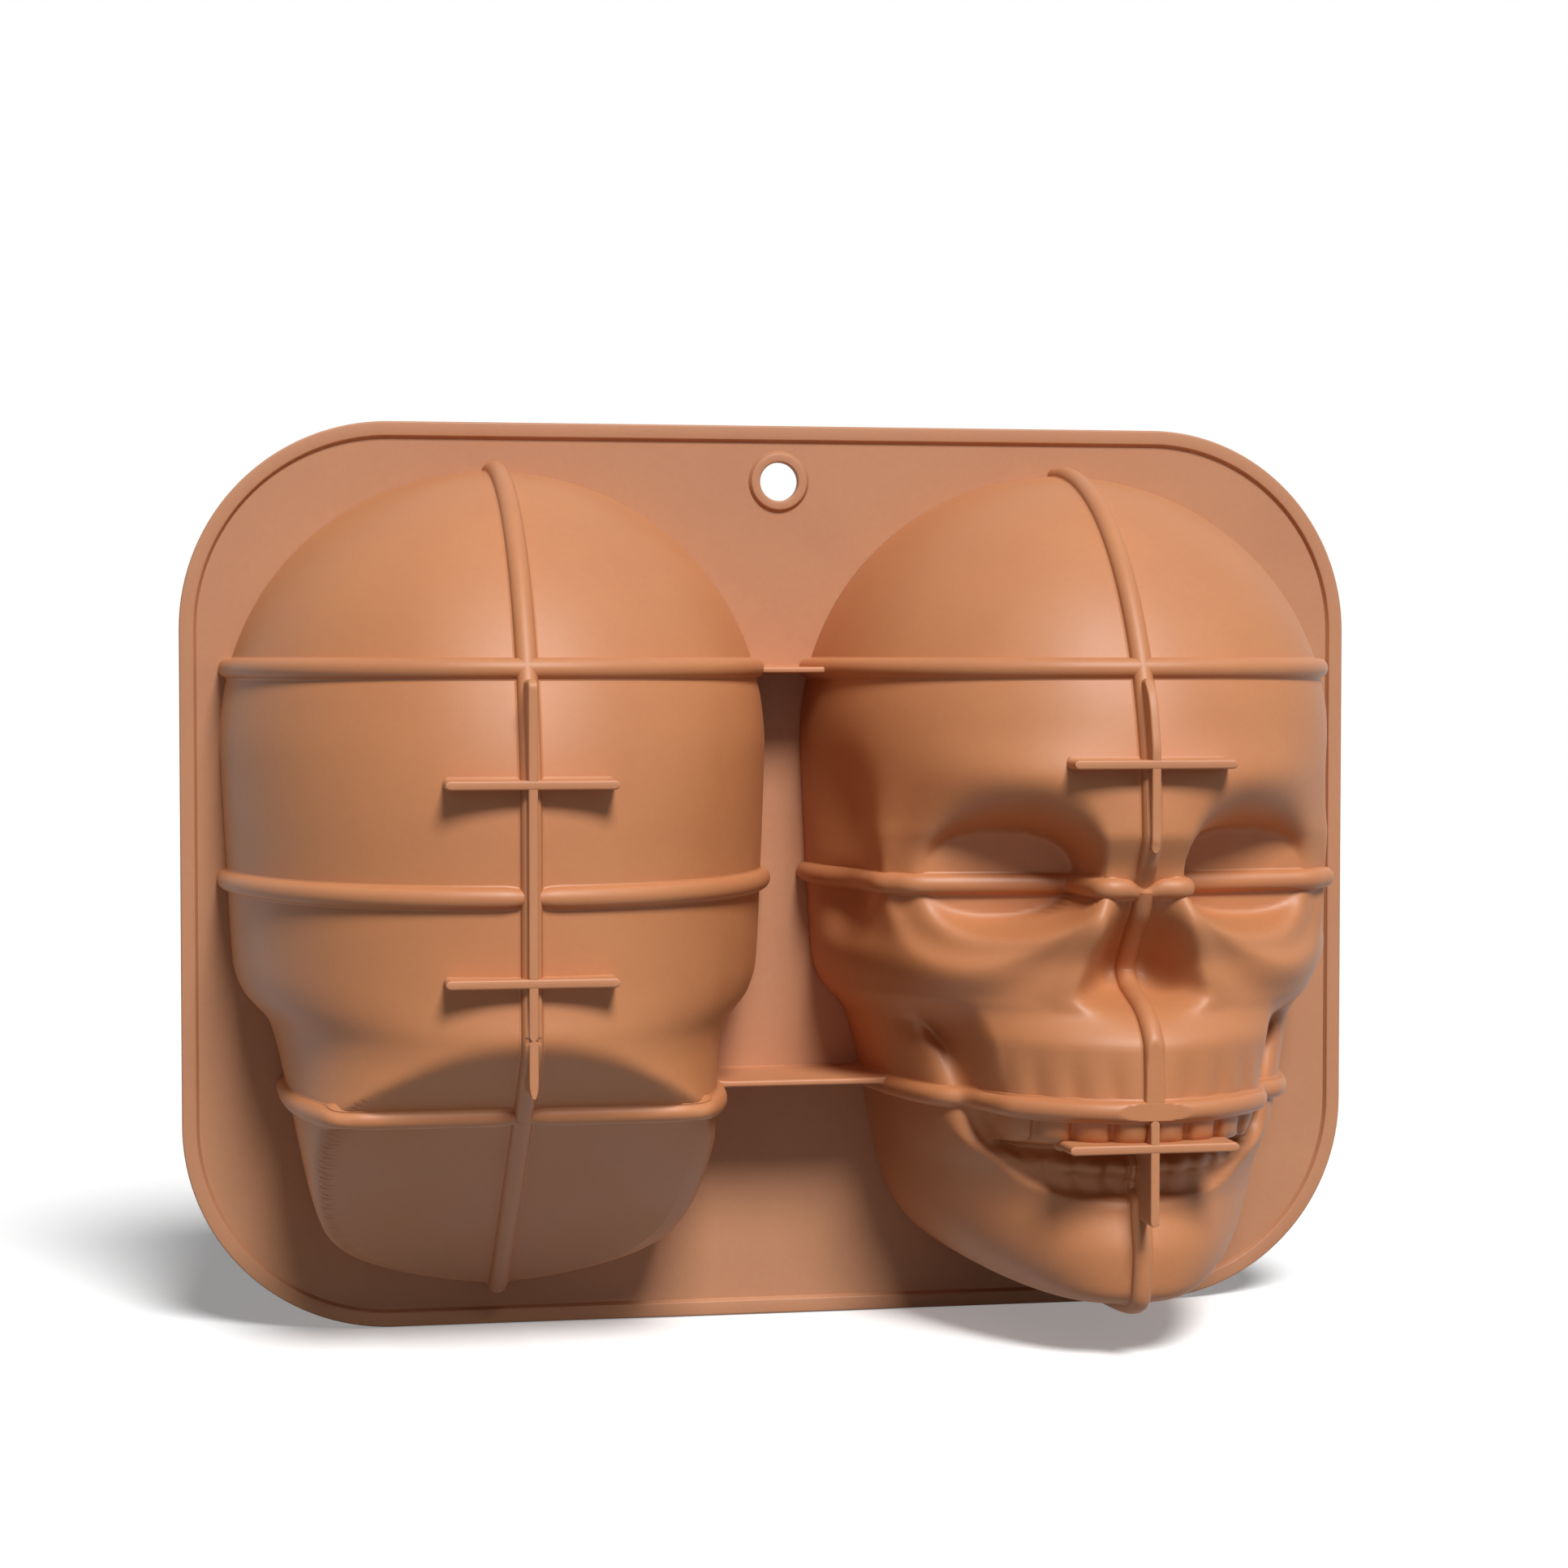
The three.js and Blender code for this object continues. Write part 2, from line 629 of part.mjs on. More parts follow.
const barRuns = [
  ["back_upper_foot_bar", "back", backBarLevels[0], footBarLength],
  ["back_lower_foot_bar", "back", backBarLevels[1], footBarLength],
  ["forehead_foot_bar", "face", foreheadBarY, footBarLength],
  ["mouth_foot_bar", "face", mouthBarY, mouthBarLength],
];
for (const [name, kind, level, length] of barRuns) {
  addPiece(name, footBar(kind, level, length), materialColour.web, silicone);
}

// Tie webs between the halves, hanging from the flange's underside

function tieWeb(level, depth) {
  const middle = { x: 0 };
  const low = new THREE.Vector3(-halfPitch / 2, level - tieThickness / 2, 0);
  const high = new THREE.Vector3(halfPitch / 2, level + tieThickness / 2, depth);
  return seated(plate(middle, low, high), ["back", "face"]);
}
addPiece("upper_tie_web", tieWeb(bandPitch, upperTieDepth), materialColour.web, silicone);
addPiece("lower_tie_web", tieWeb(-bandPitch, lowerTieDepth), materialColour.web, silicone);

export default part;
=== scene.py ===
# %% [markdown]
# # A silicone cake mould: a skull in two halves
# The mould is one soft moulding: two deep cavities, the back of a skull and its face, hang
# from one flat flange. Each half is stiffened on the outside by three bands and a median rib,
# and stands on thin webs that all end in one plane. This lesson loads the measured model as a
# fixed frame and dresses it with fine surfaces, all worked out with numpy.

# %% Load the frame
import math

import bmesh
import bpy
import numpy as np
from mathutils import Matrix, Vector
from mathutils.geometry import tessellate_polygon


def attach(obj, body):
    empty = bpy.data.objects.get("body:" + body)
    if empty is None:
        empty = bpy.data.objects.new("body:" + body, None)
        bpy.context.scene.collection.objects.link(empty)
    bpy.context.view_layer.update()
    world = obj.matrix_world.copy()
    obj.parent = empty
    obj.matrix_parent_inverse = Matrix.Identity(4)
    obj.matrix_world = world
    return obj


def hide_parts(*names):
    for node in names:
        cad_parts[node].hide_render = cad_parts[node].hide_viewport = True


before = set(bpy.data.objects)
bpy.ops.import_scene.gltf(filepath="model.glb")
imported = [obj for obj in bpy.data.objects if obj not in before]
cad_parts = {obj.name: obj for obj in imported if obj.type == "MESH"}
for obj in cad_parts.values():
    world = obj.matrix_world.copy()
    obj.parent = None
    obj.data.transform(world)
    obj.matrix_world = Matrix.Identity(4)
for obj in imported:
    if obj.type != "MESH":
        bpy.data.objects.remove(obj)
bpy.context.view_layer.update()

# %% [markdown]
# ## Sizes
# The mould's own sizes, in millimetres, are the same as in the measured model. X runs towards
# the back half, Y towards the crowns, and Z from the feet up to the open side. "Deep" is the
# distance below the flange's underside.

# %% Sizes of the mould
FLANGE_LENGTH = 290.0
FLANGE_WIDTH = 218.4
CORNER_RADIUS = 50.0
SHEET_TOP = 88.0
SHEET_THICK = 2.0
SHEET_UNDER = SHEET_TOP - SHEET_THICK
RIM_WIDTH = 3.6
RIM_HEIGHT = 1.0
HANG_Y = 95.6
HANG_RADIUS = 4.7
HANG_BOSS = 7.0
HALF_PITCH = 70.4
HALF_WIDTH = 65.2
CROWN_Y = 97.3
CHIN_Y = -99.0
OUTLINE_DOME_Y = 32.0
OUTLINE_TAPER_Y = -62.0
DOME_Y = 12.0
DOME_DEPTH = 81.8
FOOT_DEPTH = SHEET_UNDER
NAPE_Y = -43.0
NAPE_DEEP = 71.8
NAPE_SLOPE = 1.143
WALL = 3.0
RIB_HALF = 2.35
RIB_PROUD = 2.5
BAND_LEVELS = (50.0, 0.0, -50.0)
print("half pitch", HALF_PITCH, "mm, bands at", BAND_LEVELS)

# %% [markdown]
# ## Small formulas
# A form like this could be sculpted by hand, but then no size in it could be read or changed.
# Here every surface is made from a few small formulas instead: a smooth step, a bell, a mound,
# a curve through knots, an oval, and a cap that closes a profile at its end. They take whole
# arrays, so a surface needs no loop over its points.


# %% Small formulas
def ease(x, low, high):
    """A smooth step: 3t squared minus 2t cubed, where t runs from 0 at low to 1 at high."""
    t = np.clip((x - low) / (high - low), 0, 1)
    return t * t * (3 - 2 * t)


def bell(x):
    """A bell: e to the minus x squared."""
    return np.exp(-x * x)


def mound(u, v, height, place, spread):
    """A soft mound at a place: its height times a bell along u and a bell along v."""
    return height * bell((u - place[0]) / spread[0]) * bell((v - place[1]) / spread[1])


def through(knots):
    """A cubic curve through the knots, whose slopes are harmonic means, so it never overshoots."""
    k = np.array(sorted(knots), float)
    x, v = k[:, 0], k[:, 1]
    step = np.diff(x)
    rise = np.diff(v) / step
    product = rise[:-1] * rise[1:]
    total = rise[:-1] + rise[1:]
    inner = np.where(product > 0, 2 * product / np.where(total == 0, 1, total), 0)
    slope = np.concatenate([[rise[0]], inner, [rise[-1]]])

    def curve(at):
        """The cubic between two knots that has their values and their slopes."""
        at = np.clip(at, x[0], x[-1])
        i = np.clip(np.searchsorted(x, at) - 1, 0, len(x) - 2)
        t = (at - x[i]) / step[i]
        ends = v[i] * (1 + 2 * t) * (1 - t) ** 2 + v[i + 1] * t * t * (3 - 2 * t)
        return ends + step[i] * t * (1 - t) * (slope[i] * (1 - t) - slope[i + 1] * t)

    return curve


def cap(y, start, end, p, q):
    """Closes a profile: (1 - u to the p) to the 1/q, where u runs from 0 at start to 1 at end."""
    u = np.clip((y - start) / (end - start), 0, 1)
    return np.maximum(1 - u**p, 0) ** (1 / q)


def oval(u, v, power):
    """The size of the superellipse through (u, v)."""
    return (np.abs(u) ** power + np.abs(v) ** power) ** (1 / power)


print("a smooth step is at", float(ease(0.5, 0, 1)), "half way")

# %% [markdown]
# ## The skull as slices
# A half is a stack of slices across the skull. Each level y has a half width, a depth and a
# roundness: 2 is an ellipse, 4 is nearly a box. On the face a relief then carves the slices:
# brows, eye sockets, nose, cheekbones, teeth and chin. A subdivided cage could hold the same
# form, but slices keep the whole shape in a few curves that can be read and changed by hand.

# %% Width, depth and roundness
lower_width = through(
    [(OUTLINE_DOME_Y, HALF_WIDTH), (0, 63.6), (-20, 62.4), (-26, 60.5), (-34, 54.0),
     (-48, 50.3), (-62, 47.5), (-76, 44.5), (-98, 38.0)]
)
back_core = through(
    [(DOME_Y, DOME_DEPTH), (-20, 81.8), (-26, 82.3), (-31, 82.9), (-36, 82.6), (-45, 81.8),
     (-99, 81)]
)
face_core = through(
    [(DOME_Y, DOME_DEPTH), (2, 77.5), (-8, 80.0), (-18, 76.5), (-28, 78.5), (-36, 84.0),
     (-50, 84.6), (-57, 82.6), (-62, 80.0), (-68, 75.5), (-74, 73.8), (-84, 75.5), (-98, 74.0)]
)


def half_width(y, p, q):
    """Half width: a dome above, and below it a waisted outline that p and q close at the chin."""
    dome = HALF_WIDTH * cap(y, OUTLINE_DOME_Y, CROWN_Y, 2.08, 2)
    waisted = lower_width(y) * cap(y, OUTLINE_TAPER_Y, CHIN_Y, p, q)
    return np.where(y > OUTLINE_DOME_Y, dome, waisted)


def back_width(y):
    """Half width of the back, which ends in a V."""
    return half_width(y, 6.5, 1)


def face_width(y):
    """Half width of the face, with a round end at the chin."""
    return half_width(y, 4, 2.2)


def under_dome(y, lower):
    """Depth: the dome that both halves share above, and the lower part's own depth below it."""
    return np.where(y > DOME_Y, DOME_DEPTH * cap(y, DOME_Y, CROWN_Y, 2, 2), lower)


def back_depth(y):
    """Depth of the back half before its nape is cut: nearly level under the dome."""
    return under_dome(y, back_core(y))


def face_depth(y):
    """Depth of the face half: brow to chin under the dome."""
    return under_dome(y, face_core(y) * cap(y, -86, CHIN_Y, 9, 2.2))


back_power = through(
    [(40, 2.0), (0, 2.1), (-26, 2.15), (-36, 2.3), (-43, 2.6), (-50, 3.1), (-60, 3.7), (-98, 4.0)]
)
face_power = through(
    [(40, 2.05), (5, 2.0), (-20, 1.95), (-36, 2.0), (-56, 2.05), (-70, 1.95), (-80, 2.0),
     (-90, 2.3), (-97, 2.8)]
)
print("half width at the middle band", float(face_width(np.array(0.0))))

# %% [markdown]
# ## The relief of the face
# The mould leaves its tool straight up, so nothing on it may hook under. The front of the face
# is therefore carved in depth alone, and only the temples and the cheeks are carved sideways.
# Mounds raise soft forms, smooth steps carve sharp ones, and each hole is a blend from the bare
# head into the hole's own floor. The teeth sit on an arch, so they are spaced by angle. Holes
# could also be cut with Boolean modifiers, but those leave hard rims that silicone doesn't have.
# A distance s is measured across from the median line.

# %% Curves that bound the relief
UPPER_ARCH = (41.0, 0.213)
LOWER_ARCH = (38.0, 0.18)
MOUTH_CENTRE_Y = -40.0
SOCKET_Y = 3.0
jaw_reach = through(
    [(-20, 57), (-13, 51), (-6, 45), (0, 41.2), (10, 39), (20, 38), (28, 38.6), (38, 36.8),
     (45, 36), (53, 34.8), (61, 33.6), (75, 31.2), (90, 30)]
)
upper_side = through(
    [(-61, 27.5), (-58, 29), (-53, 31.5), (-47, 33.5), (-40, 35), (-33, 36.5), (-27, 39), (-23, 44)]
)
nose_side = through(
    [(6, 5.5), (-3, 8.8), (-11, 11), (-19, 13.8), (-25, 15.8), (-28.5, 13.6), (-31, 10.5), (-34, 9)]
)
nose_floor = through(
    [(5, 77.9), (1, 76.6), (-4.8, 73.6), (-10.8, 67.2), (-19.8, 60.8), (-23.4, 63.5), (-27.8, 74.6),
     (-33.5, 82.3)]
)


def socket_size(s, y):
    """The size of the eye socket's opening through (s, y): 1 on its rim. It droops outwards."""
    u = (s - 30.5) / 21.5
    below = 20 * (0.93 + 0.3 * u)
    v = (y - SOCKET_Y) / np.where(y > SOCKET_Y, 24, below)
    return oval(u, v, 2.6)


def mouth_edge(s, y):
    """Distance outside the lower jaw's inner edge, a curve given by angle round a centre."""
    down = MOUTH_CENTRE_Y - y
    turn = np.degrees(np.arctan2(down, np.maximum(s, 1e-3)))
    return np.hypot(s, down) - jaw_reach(np.clip(turn, -20, 90))


def tooth_gap(s, arch):
    """How far, in teeth, the place s is from the nearest gap between two teeth. An arch is its
    radius and the angle that one tooth takes on it."""
    radius, angle = arch
    count = np.arcsin(np.minimum(s / radius, 1)) / angle
    return np.abs(count - np.round(count))


print("jaw's inner edge below the mouth's centre:", float(jaw_reach(90)), "mm")


# %% Holes: eye sockets and nose
def socket_floor(s, y, deep):
    """The floor blends into the head between the rim, size 1, and the floor's own oval."""
    left = np.clip(1 - socket_size(s, y), 0, 1)
    inner = oval((s - 28.5) / 17, (y - 2.7) / 9.8, 2.3)
    way = left / np.maximum(left + np.maximum(inner - 1, 0), 1e-6)
    # Crisp under the brow, soft towards the cheek
    crisp = way * way * (2 - way)
    soft = way**3 * (10 - 15 * way + 6 * way * way)
    share = soft + (crisp - soft) * ease(y, 0, 6)
    floor = 58.6 - 0.13 * s
    return (floor - deep) * share


def nose_hole(s, y):
    """Falls from the nose's edge to the floor's own profile along the median line."""
    share = 1 - ease(s / nose_side(y), 0.25, 1.08)
    ends = ease(y, -32.2, -26.5) * (1 - ease(y, 1, 6))
    return (nose_floor(y) - face_depth(y)) * share * ends


# %% Forms of the front, carved in depth
def face_front(s, y, deep):
    """Millimetres by which the bare head is raised or cut in depth, without the teeth."""
    # Brows, the bridge of the nose, and the holes
    out = mound(s, y, 2.6, (28, 26), (18, 6.5)) + mound(s, y, 0.5, (0, 12), (10, 8))
    out = out + socket_floor(s, y, deep) + nose_hole(s, y)
    # Rounded rims under the eyes, steeper towards the socket, and beside the nose
    from_rim = socket_size(s, y) - 1.09
    spread = np.where(from_rim > 0, 0.33, 0.14)
    out = out + 3.2 * bell(from_rim / spread) * (1 - ease(y, 0, 16)) * ease(s, 14, 36)
    from_nose = s / nose_side(y) - 1.16
    out = out + 1.5 * bell(from_nose / 0.3) * ease(y, -30, -20) * (1 - ease(y, -8, 2))
    # Cheekbone
    out = out + mound(s, y, 3.0, (44, -19), (12, 6.5))
    # Hollow between the upper jaw and the jaw's branch, and the open mouth
    gap = ease(s - upper_side(y), -4, 5) * (1 - ease(y, -38, -26))
    mouth = 1 - ease(y, -60.5, -57.5)
    branch = ease(y, -63, -50)
    inside = np.clip((2.5 + 4.5 * branch - mouth_edge(s, y)) / (5.5 + 5 * branch), 0, 1)
    hollow = np.maximum(gap, mouth) * inside ** (1.3 + 0.7 * branch)
    out = out - (12 + 2.5 * branch) * hollow
    # Chin
    return out + mound(s, y, 0.8, (12, -83), (13, 9))


def face_teeth(s, y):
    """Cuts the gaps between the upper teeth, hints at their roots, and raises the lower teeth."""
    # Upper crowns, fullest in their middle, with narrow gaps between them
    gap = tooth_gap(s, UPPER_ARCH)
    upper = 1 - ease(s - upper_side(y), -2, 2)
    crown = ease(y, -60.5, -58) * (1 - ease(y, -53.5, -49))
    out = -1.8 * bell(gap / 0.12) * upper * crown
    out = out + 0.8 * bell((y + 56) / 3) * upper * (1 - bell(gap / 0.3))
    # Shallow grooves between the roots
    roots = ease(y, -54, -50) * (1 - ease(y, -46, -35)) * ease(s, 3, 6)
    out = out - 0.9 * bell(gap / 0.28) * upper * roots
    # Lower teeth
    edge = mouth_edge(s, y)
    low = ease(edge, -13, -7) * (1 - ease(edge, -4, 1)) * ease(-y, 60, 65)
    low_gap = tooth_gap(s, LOWER_ARCH)
    return out + low * (8.2 - 1.5 * bell(low_gap / 0.26))


# %% Forms of the sides, carved across
def face_side(y, deep):
    """Millimetres by which the sides of the face stand out across: the hollow of the temple,
    the socket's outer rim, the notch under the temple and the cheek's arch."""
    temple = mound(deep, y, -4.0, (27, 15), (12, 14))
    rim = mound(deep, y, 1.8, (45, 5), (6, 15))
    notch = mound(deep, y, -5.0, (24, -5), (10, 6))
    cheek = mound(deep, y, 1.5, (30, -17), (18, 5))
    return temple + rim + notch + cheek


# %% [markdown]
# ## The flat nape
# The back half is cut by one sloping plane, from the back of the head to the chin. Where it
# meets the round head it leaves an arched edge, which the photograph shows clearly. A Bisect
# would cut it sharply; taking the lower of the two surfaces lets the edge be a soft one.

# %% The sloping cut
NAPE_CORNER = 5.0


def nape_cut(y, across, deep, out):
    """The lower of the slice and the sloping plane, blended over a few millimetres. Low down,
    the side wall turns into the plane through a quarter circle."""
    plane = (NAPE_DEEP + NAPE_SLOPE * (y - NAPE_Y)) * cap(y, -92, CHIN_Y, 6, 2)
    plane = np.maximum(plane + out * math.hypot(1, NAPE_SLOPE), 0.2)
    turn = NAPE_CORNER * (1 - ease(y, -53, -40)) * np.clip(plane / 8, 0, 1)
    share = np.clip(1 + (deep - plane) / np.maximum(turn, 0.1), 0, 1)
    pull = turn * (1 - np.sqrt(1 - share**2)) / np.maximum(back_width(y), 1)
    soft = np.minimum(3.0, plane / 2) * (0.3 + 0.7 * ease(y, -58, -46))
    near = np.clip(1 - np.abs(deep - plane) / soft, 0, 1)
    return across * (1 - pull), np.minimum(deep, plane) - near**2 * soft / 4


# %% The two halves
# Each half: where its median line lies, its profiles, its relief in front and at the side, and
# its cut. The gums are the face without its teeth.
HALVES = {
    "back": {"x": HALF_PITCH, "width": back_width, "depth": back_depth, "power": back_power,
             "front": lambda s, y, deep: 0.0 * s, "side": lambda y, deep: 0.0 * deep,
             "cut": nape_cut},
    "face": {"x": -HALF_PITCH, "width": face_width, "depth": face_depth, "power": face_power,
             "front": lambda s, y, deep: face_front(s, y, deep) + face_teeth(s, y),
             "side": face_side, "cut": lambda y, across, deep, out: (across, deep)},
}
GUMS = {**HALVES["face"], "front": face_front}
print("relief between the brows:", float(face_front(0.0, 12.0, DOME_DEPTH)), "mm")


# %% [markdown]
# ## From a level and an angle to a point
# A slice is walked by the angle t around it, from one side of the flange over the top to the
# other. A superellipse could be walked by powers of its sine and cosine, but that crowds the
# points at its corners. Here a circle's point is divided by its own superellipse size, which
# spaces the points about evenly on the round slices and on the boxy ones.


# %% Points on a half
def slice_point(half, y, across, deep, out):
    """The base point (across, y, deep), carved, and moved by out along its base normal, which
    is the gradient of |across/width|^n + (deep/depth)^n."""
    width = np.maximum(half["width"](y), 1e-3)
    depth = np.maximum(half["depth"](y), 1e-3)
    n = half["power"](y)
    gx = np.sign(across) * (np.abs(across) / width) ** (n - 1) / width
    gz = (np.maximum(deep, 0) / depth) ** (n - 1) / depth
    up = np.minimum(y + 0.05, CROWN_Y - 1e-3)
    down = np.maximum(y - 0.05, CHIN_Y + 1e-3)

    def size_at(at):
        """The same formula at another level, for its slope along y."""
        side = (np.abs(across) / np.maximum(half["width"](at), 1e-3)) ** n
        return side + (np.maximum(deep, 0) / np.maximum(half["depth"](at), 1e-3)) ** n

    gy = np.clip((size_at(up) - size_at(down)) / (up - down) / n, -1e3, 1e3)
    # At the crown and the chin a slice is one point, whose normal lies along the median line
    end = width < 0.01
    gx = np.where(end, 0, gx)
    gz = np.where(end, 0, gz)
    gy = np.where(end, np.sign(y), gy)
    whole = np.maximum(np.sqrt(gx**2 + gz**2 + gy**2), 1e-9)
    # The relief fades towards the flange, so that the outline there stays the bare one
    fade = ease(deep, 1, 15)
    carved = across + np.sign(across) * half["side"](y, deep) * fade
    high = deep + half["front"](np.abs(across), y, deep) * fade + out * gz / whole
    wide, high = half["cut"](y, carved + out * gx / whole, high, out)
    return np.stack(np.broadcast_arrays(wide, y + out * gy / whole, high), -1)


def around(half, y, t, out=0.0):
    """Points at level y and angle t: the ellipse point divided by its superellipse size."""
    size = oval(np.cos(t), np.sin(t), half["power"](y))
    across = half["width"](y) * np.cos(t) / size
    deep = half["depth"](y) * np.maximum(np.sin(t), 0) / size
    return slice_point(half, y, across, deep, out)


def over(half, y, across, out=0.0):
    """Points at level y and a distance across from the median line."""
    share = np.clip(np.abs(across) / np.maximum(half["width"](y), 1e-3), 0, 1)
    n = half["power"](y)
    deep = half["depth"](y) * (1 - share**n) ** (1 / n)
    return slice_point(half, y, across + 0 * deep, deep, out)


def to_part(half, points):
    """From (across, level, deep) to the part's frame, in millimetres."""
    x = points[..., 0] + half["x"]
    return np.stack([x, points[..., 1], SHEET_UNDER - points[..., 2]], axis=-1)


# %% Even spacing
def evenly(line, values, count):
    """From values that go with a line's points, works out count values that are evenly spaced
    along the line."""
    length = np.concatenate([[0], np.cumsum(np.linalg.norm(np.diff(line, axis=0), axis=1))])
    return np.interp(np.linspace(0, length[-1], count), length, values)


def even_levels(half, count):
    """Levels from crown to chin, evenly spaced along the median line."""
    dense = CROWN_Y + (CHIN_Y - CROWN_Y) * (1 - np.cos(np.linspace(0, np.pi, 4001))) / 2
    return evenly(over(half, dense, 0 * dense), dense, count)


def even_angles(half, level, count):
    """Angles from one side of the flange to the other, evenly spaced along the slice."""
    dense = np.linspace(0, np.pi, 1601)
    return evenly(around(half, np.full_like(dense, level), dense), dense, count)


for kind, half in HALVES.items():
    crest = over(half, np.array([0.0]), np.array([0.0]))
    print(kind, "depth at the middle band:", float(crest[0, 2]), "mm")


# %% [markdown]
# ## Putting a grid into a mesh
# All pieces share three helpers. The first joins the points of a grid by quads, the second
# closes a tube of them at both ends, and the third makes the object, in metres, with smooth
# faces, on the one body that the mould has.


# %% Mesh helpers
def grid_quads(rows, columns, start, wrap_rows=False, wrap_columns=False):
    """The quads of a grid whose points are numbered row by row from start."""
    i = np.arange(rows if wrap_rows else rows - 1)[:, None]
    j = np.arange(columns if wrap_columns else columns - 1)[None, :]
    i2 = (i + 1) % rows
    j2 = (j + 1) % columns
    corners = [i * columns + j, i * columns + j2, i2 * columns + j2, i2 * columns + j]
    return start + np.stack([k.ravel() for k in np.broadcast_arrays(*corners)], axis=1)


def tube_faces(rows, columns):
    """The faces of a tube: each row of points is a ring, and the first and last are filled."""
    faces = grid_quads(rows, columns, 0, wrap_columns=True).tolist()
    faces.append(list(range(columns)))
    faces.append(list(range((rows - 1) * columns, rows * columns))[::-1])
    return faces


def make_piece(node, form, points, faces, finish, crisp_angle=None):
    """The piece that shows a node, from points in millimetres. Doubles are merged and normals
    turned outwards. Edges sharper than the crisp angle, in degrees, aren't smoothed."""
    name = f"{node}_{form}"
    places = (points.reshape(-1, 3) / 1000).tolist()
    mesh = bpy.data.meshes.new(name)
    mesh.from_pydata(places, [], [list(map(int, face)) for face in faces])
    work = bmesh.new()
    work.from_mesh(mesh)
    bmesh.ops.remove_doubles(work, verts=work.verts, dist=1e-6)
    bmesh.ops.recalc_face_normals(work, faces=work.faces)
    work.to_mesh(mesh)
    work.free()
    mesh.polygons.foreach_set("use_smooth", [True] * len(mesh.polygons))
    mesh.materials.append(finishes[finish])
    if crisp_angle is not None:
        mesh.set_sharp_from_angle(angle=math.radians(crisp_angle))
    piece = bpy.data.objects.new(name, mesh)
    bpy.context.scene.collection.objects.link(piece)
    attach(piece, "root")
    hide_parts(node)
    print(name, len(mesh.polygons), "faces")


# %% [markdown]
# ## Moulded silicone
# Platinum-cured silicone, pressed in a steel tool that was bead-blasted: dense, slightly
# translucent, with a dull skin. The blasted tool leaves a fine pebble that scatters the light,
# and the rubber's own filler varies the colour a little. The real pebble is a tenth or two of a
# millimetre across; it is drawn at 0.8 to 0.9 mm, as coarse as it needs to be to show. A painted
# texture would fit one piece only; noise on Object coordinates runs through all of them at one
# size. Bare silicone has a refractive index of about 1.41; 1.45 and a fairly strong reflection
# suit the filled, dyed rubber of the photograph.


# %% Colour and node helpers
def linear(code):
    """A hex sRGB colour as linear RGBA."""
    values = np.array([int(code[i : i + 2], 16) for i in (1, 3, 5)]) / 255
    light = np.where(values <= 0.04045, values / 12.92, ((values + 0.055) / 1.055) ** 2.4)
    return (*light.tolist(), 1.0)


def add_node(tree, kind, settings=None, links=None):
    """Adds one node, sets its sockets or properties, and links its inputs."""
    node = tree.nodes.new(kind)
    for key, value in (settings or {}).items():
        if isinstance(key, int) or key in node.inputs:
            node.inputs[key].default_value = value
        else:
            setattr(node, key, value)
    for key, socket in (links or {}).items():
        tree.links.new(socket, node.inputs[key])
    return node


# %% The silicone finish
CLOUD_MM = 34.0
SPECK_MM = 1.6


def moulded_silicone(region, light, dark, roughness, pebble_mm, pebble_depth_mm):
    """Silicone rubber: two near tones mixed by cloudy filler, and a pebble from the blasted tool."""
    material = bpy.data.materials.new(f"moulded_silicone_{region}")
    material.use_nodes = True
    tree = material.node_tree
    shader = tree.nodes["Principled BSDF"]
    place = add_node(tree, "ShaderNodeTexCoord").outputs["Object"]
    cloud = add_node(
        tree, "ShaderNodeTexNoise", {"Scale": 1000 / CLOUD_MM, "Detail": 3.0, "Roughness": 0.55},
        {"Vector": place},
    )
    speck = add_node(
        tree, "ShaderNodeTexNoise", {"Scale": 1000 / SPECK_MM, "Detail": 2.0}, {"Vector": place}
    )
    blend = add_node(
        tree, "ShaderNodeMath", {"operation": "MULTIPLY_ADD", 1: 0.35},
        {0: speck.outputs["Fac"], 2: cloud.outputs["Fac"]},
    )
    ramp = add_node(tree, "ShaderNodeValToRGB", None, {"Fac": blend.outputs["Value"]})
    ramp.color_ramp.elements[0].position = 0.45
    ramp.color_ramp.elements[0].color = linear(dark)
    ramp.color_ramp.elements[1].position = 0.9
    ramp.color_ramp.elements[1].color = linear(light)
    tree.links.new(ramp.outputs["Color"], shader.inputs["Base Color"])
    rough = add_node(
        tree, "ShaderNodeMapRange",
        {"From Min": 0.3, "From Max": 0.7, "To Min": roughness - 0.05, "To Max": roughness + 0.05},
        {"Value": cloud.outputs["Fac"]},
    )
    tree.links.new(rough.outputs["Result"], shader.inputs["Roughness"])
    pebble = add_node(
        tree, "ShaderNodeTexNoise",
        {"Scale": 1000 / pebble_mm, "Detail": 2.0, "Roughness": 0.6}, {"Vector": place},
    )
    bump = add_node(
        tree, "ShaderNodeBump", {"Strength": 0.5, "Distance": pebble_depth_mm / 1000},
        {"Height": pebble.outputs["Fac"]},
    )
    tree.links.new(bump.outputs["Normal"], shader.inputs["Normal"])
    shader.inputs["IOR"].default_value = 1.45
    shader.inputs["Specular IOR Level"].default_value = 0.8
    shader.inputs["Subsurface Weight"].default_value = 0.08
    shader.inputs["Subsurface Radius"].default_value = (1.0, 0.45, 0.2)
    shader.inputs["Subsurface Scale"].default_value = 0.0025
    return material


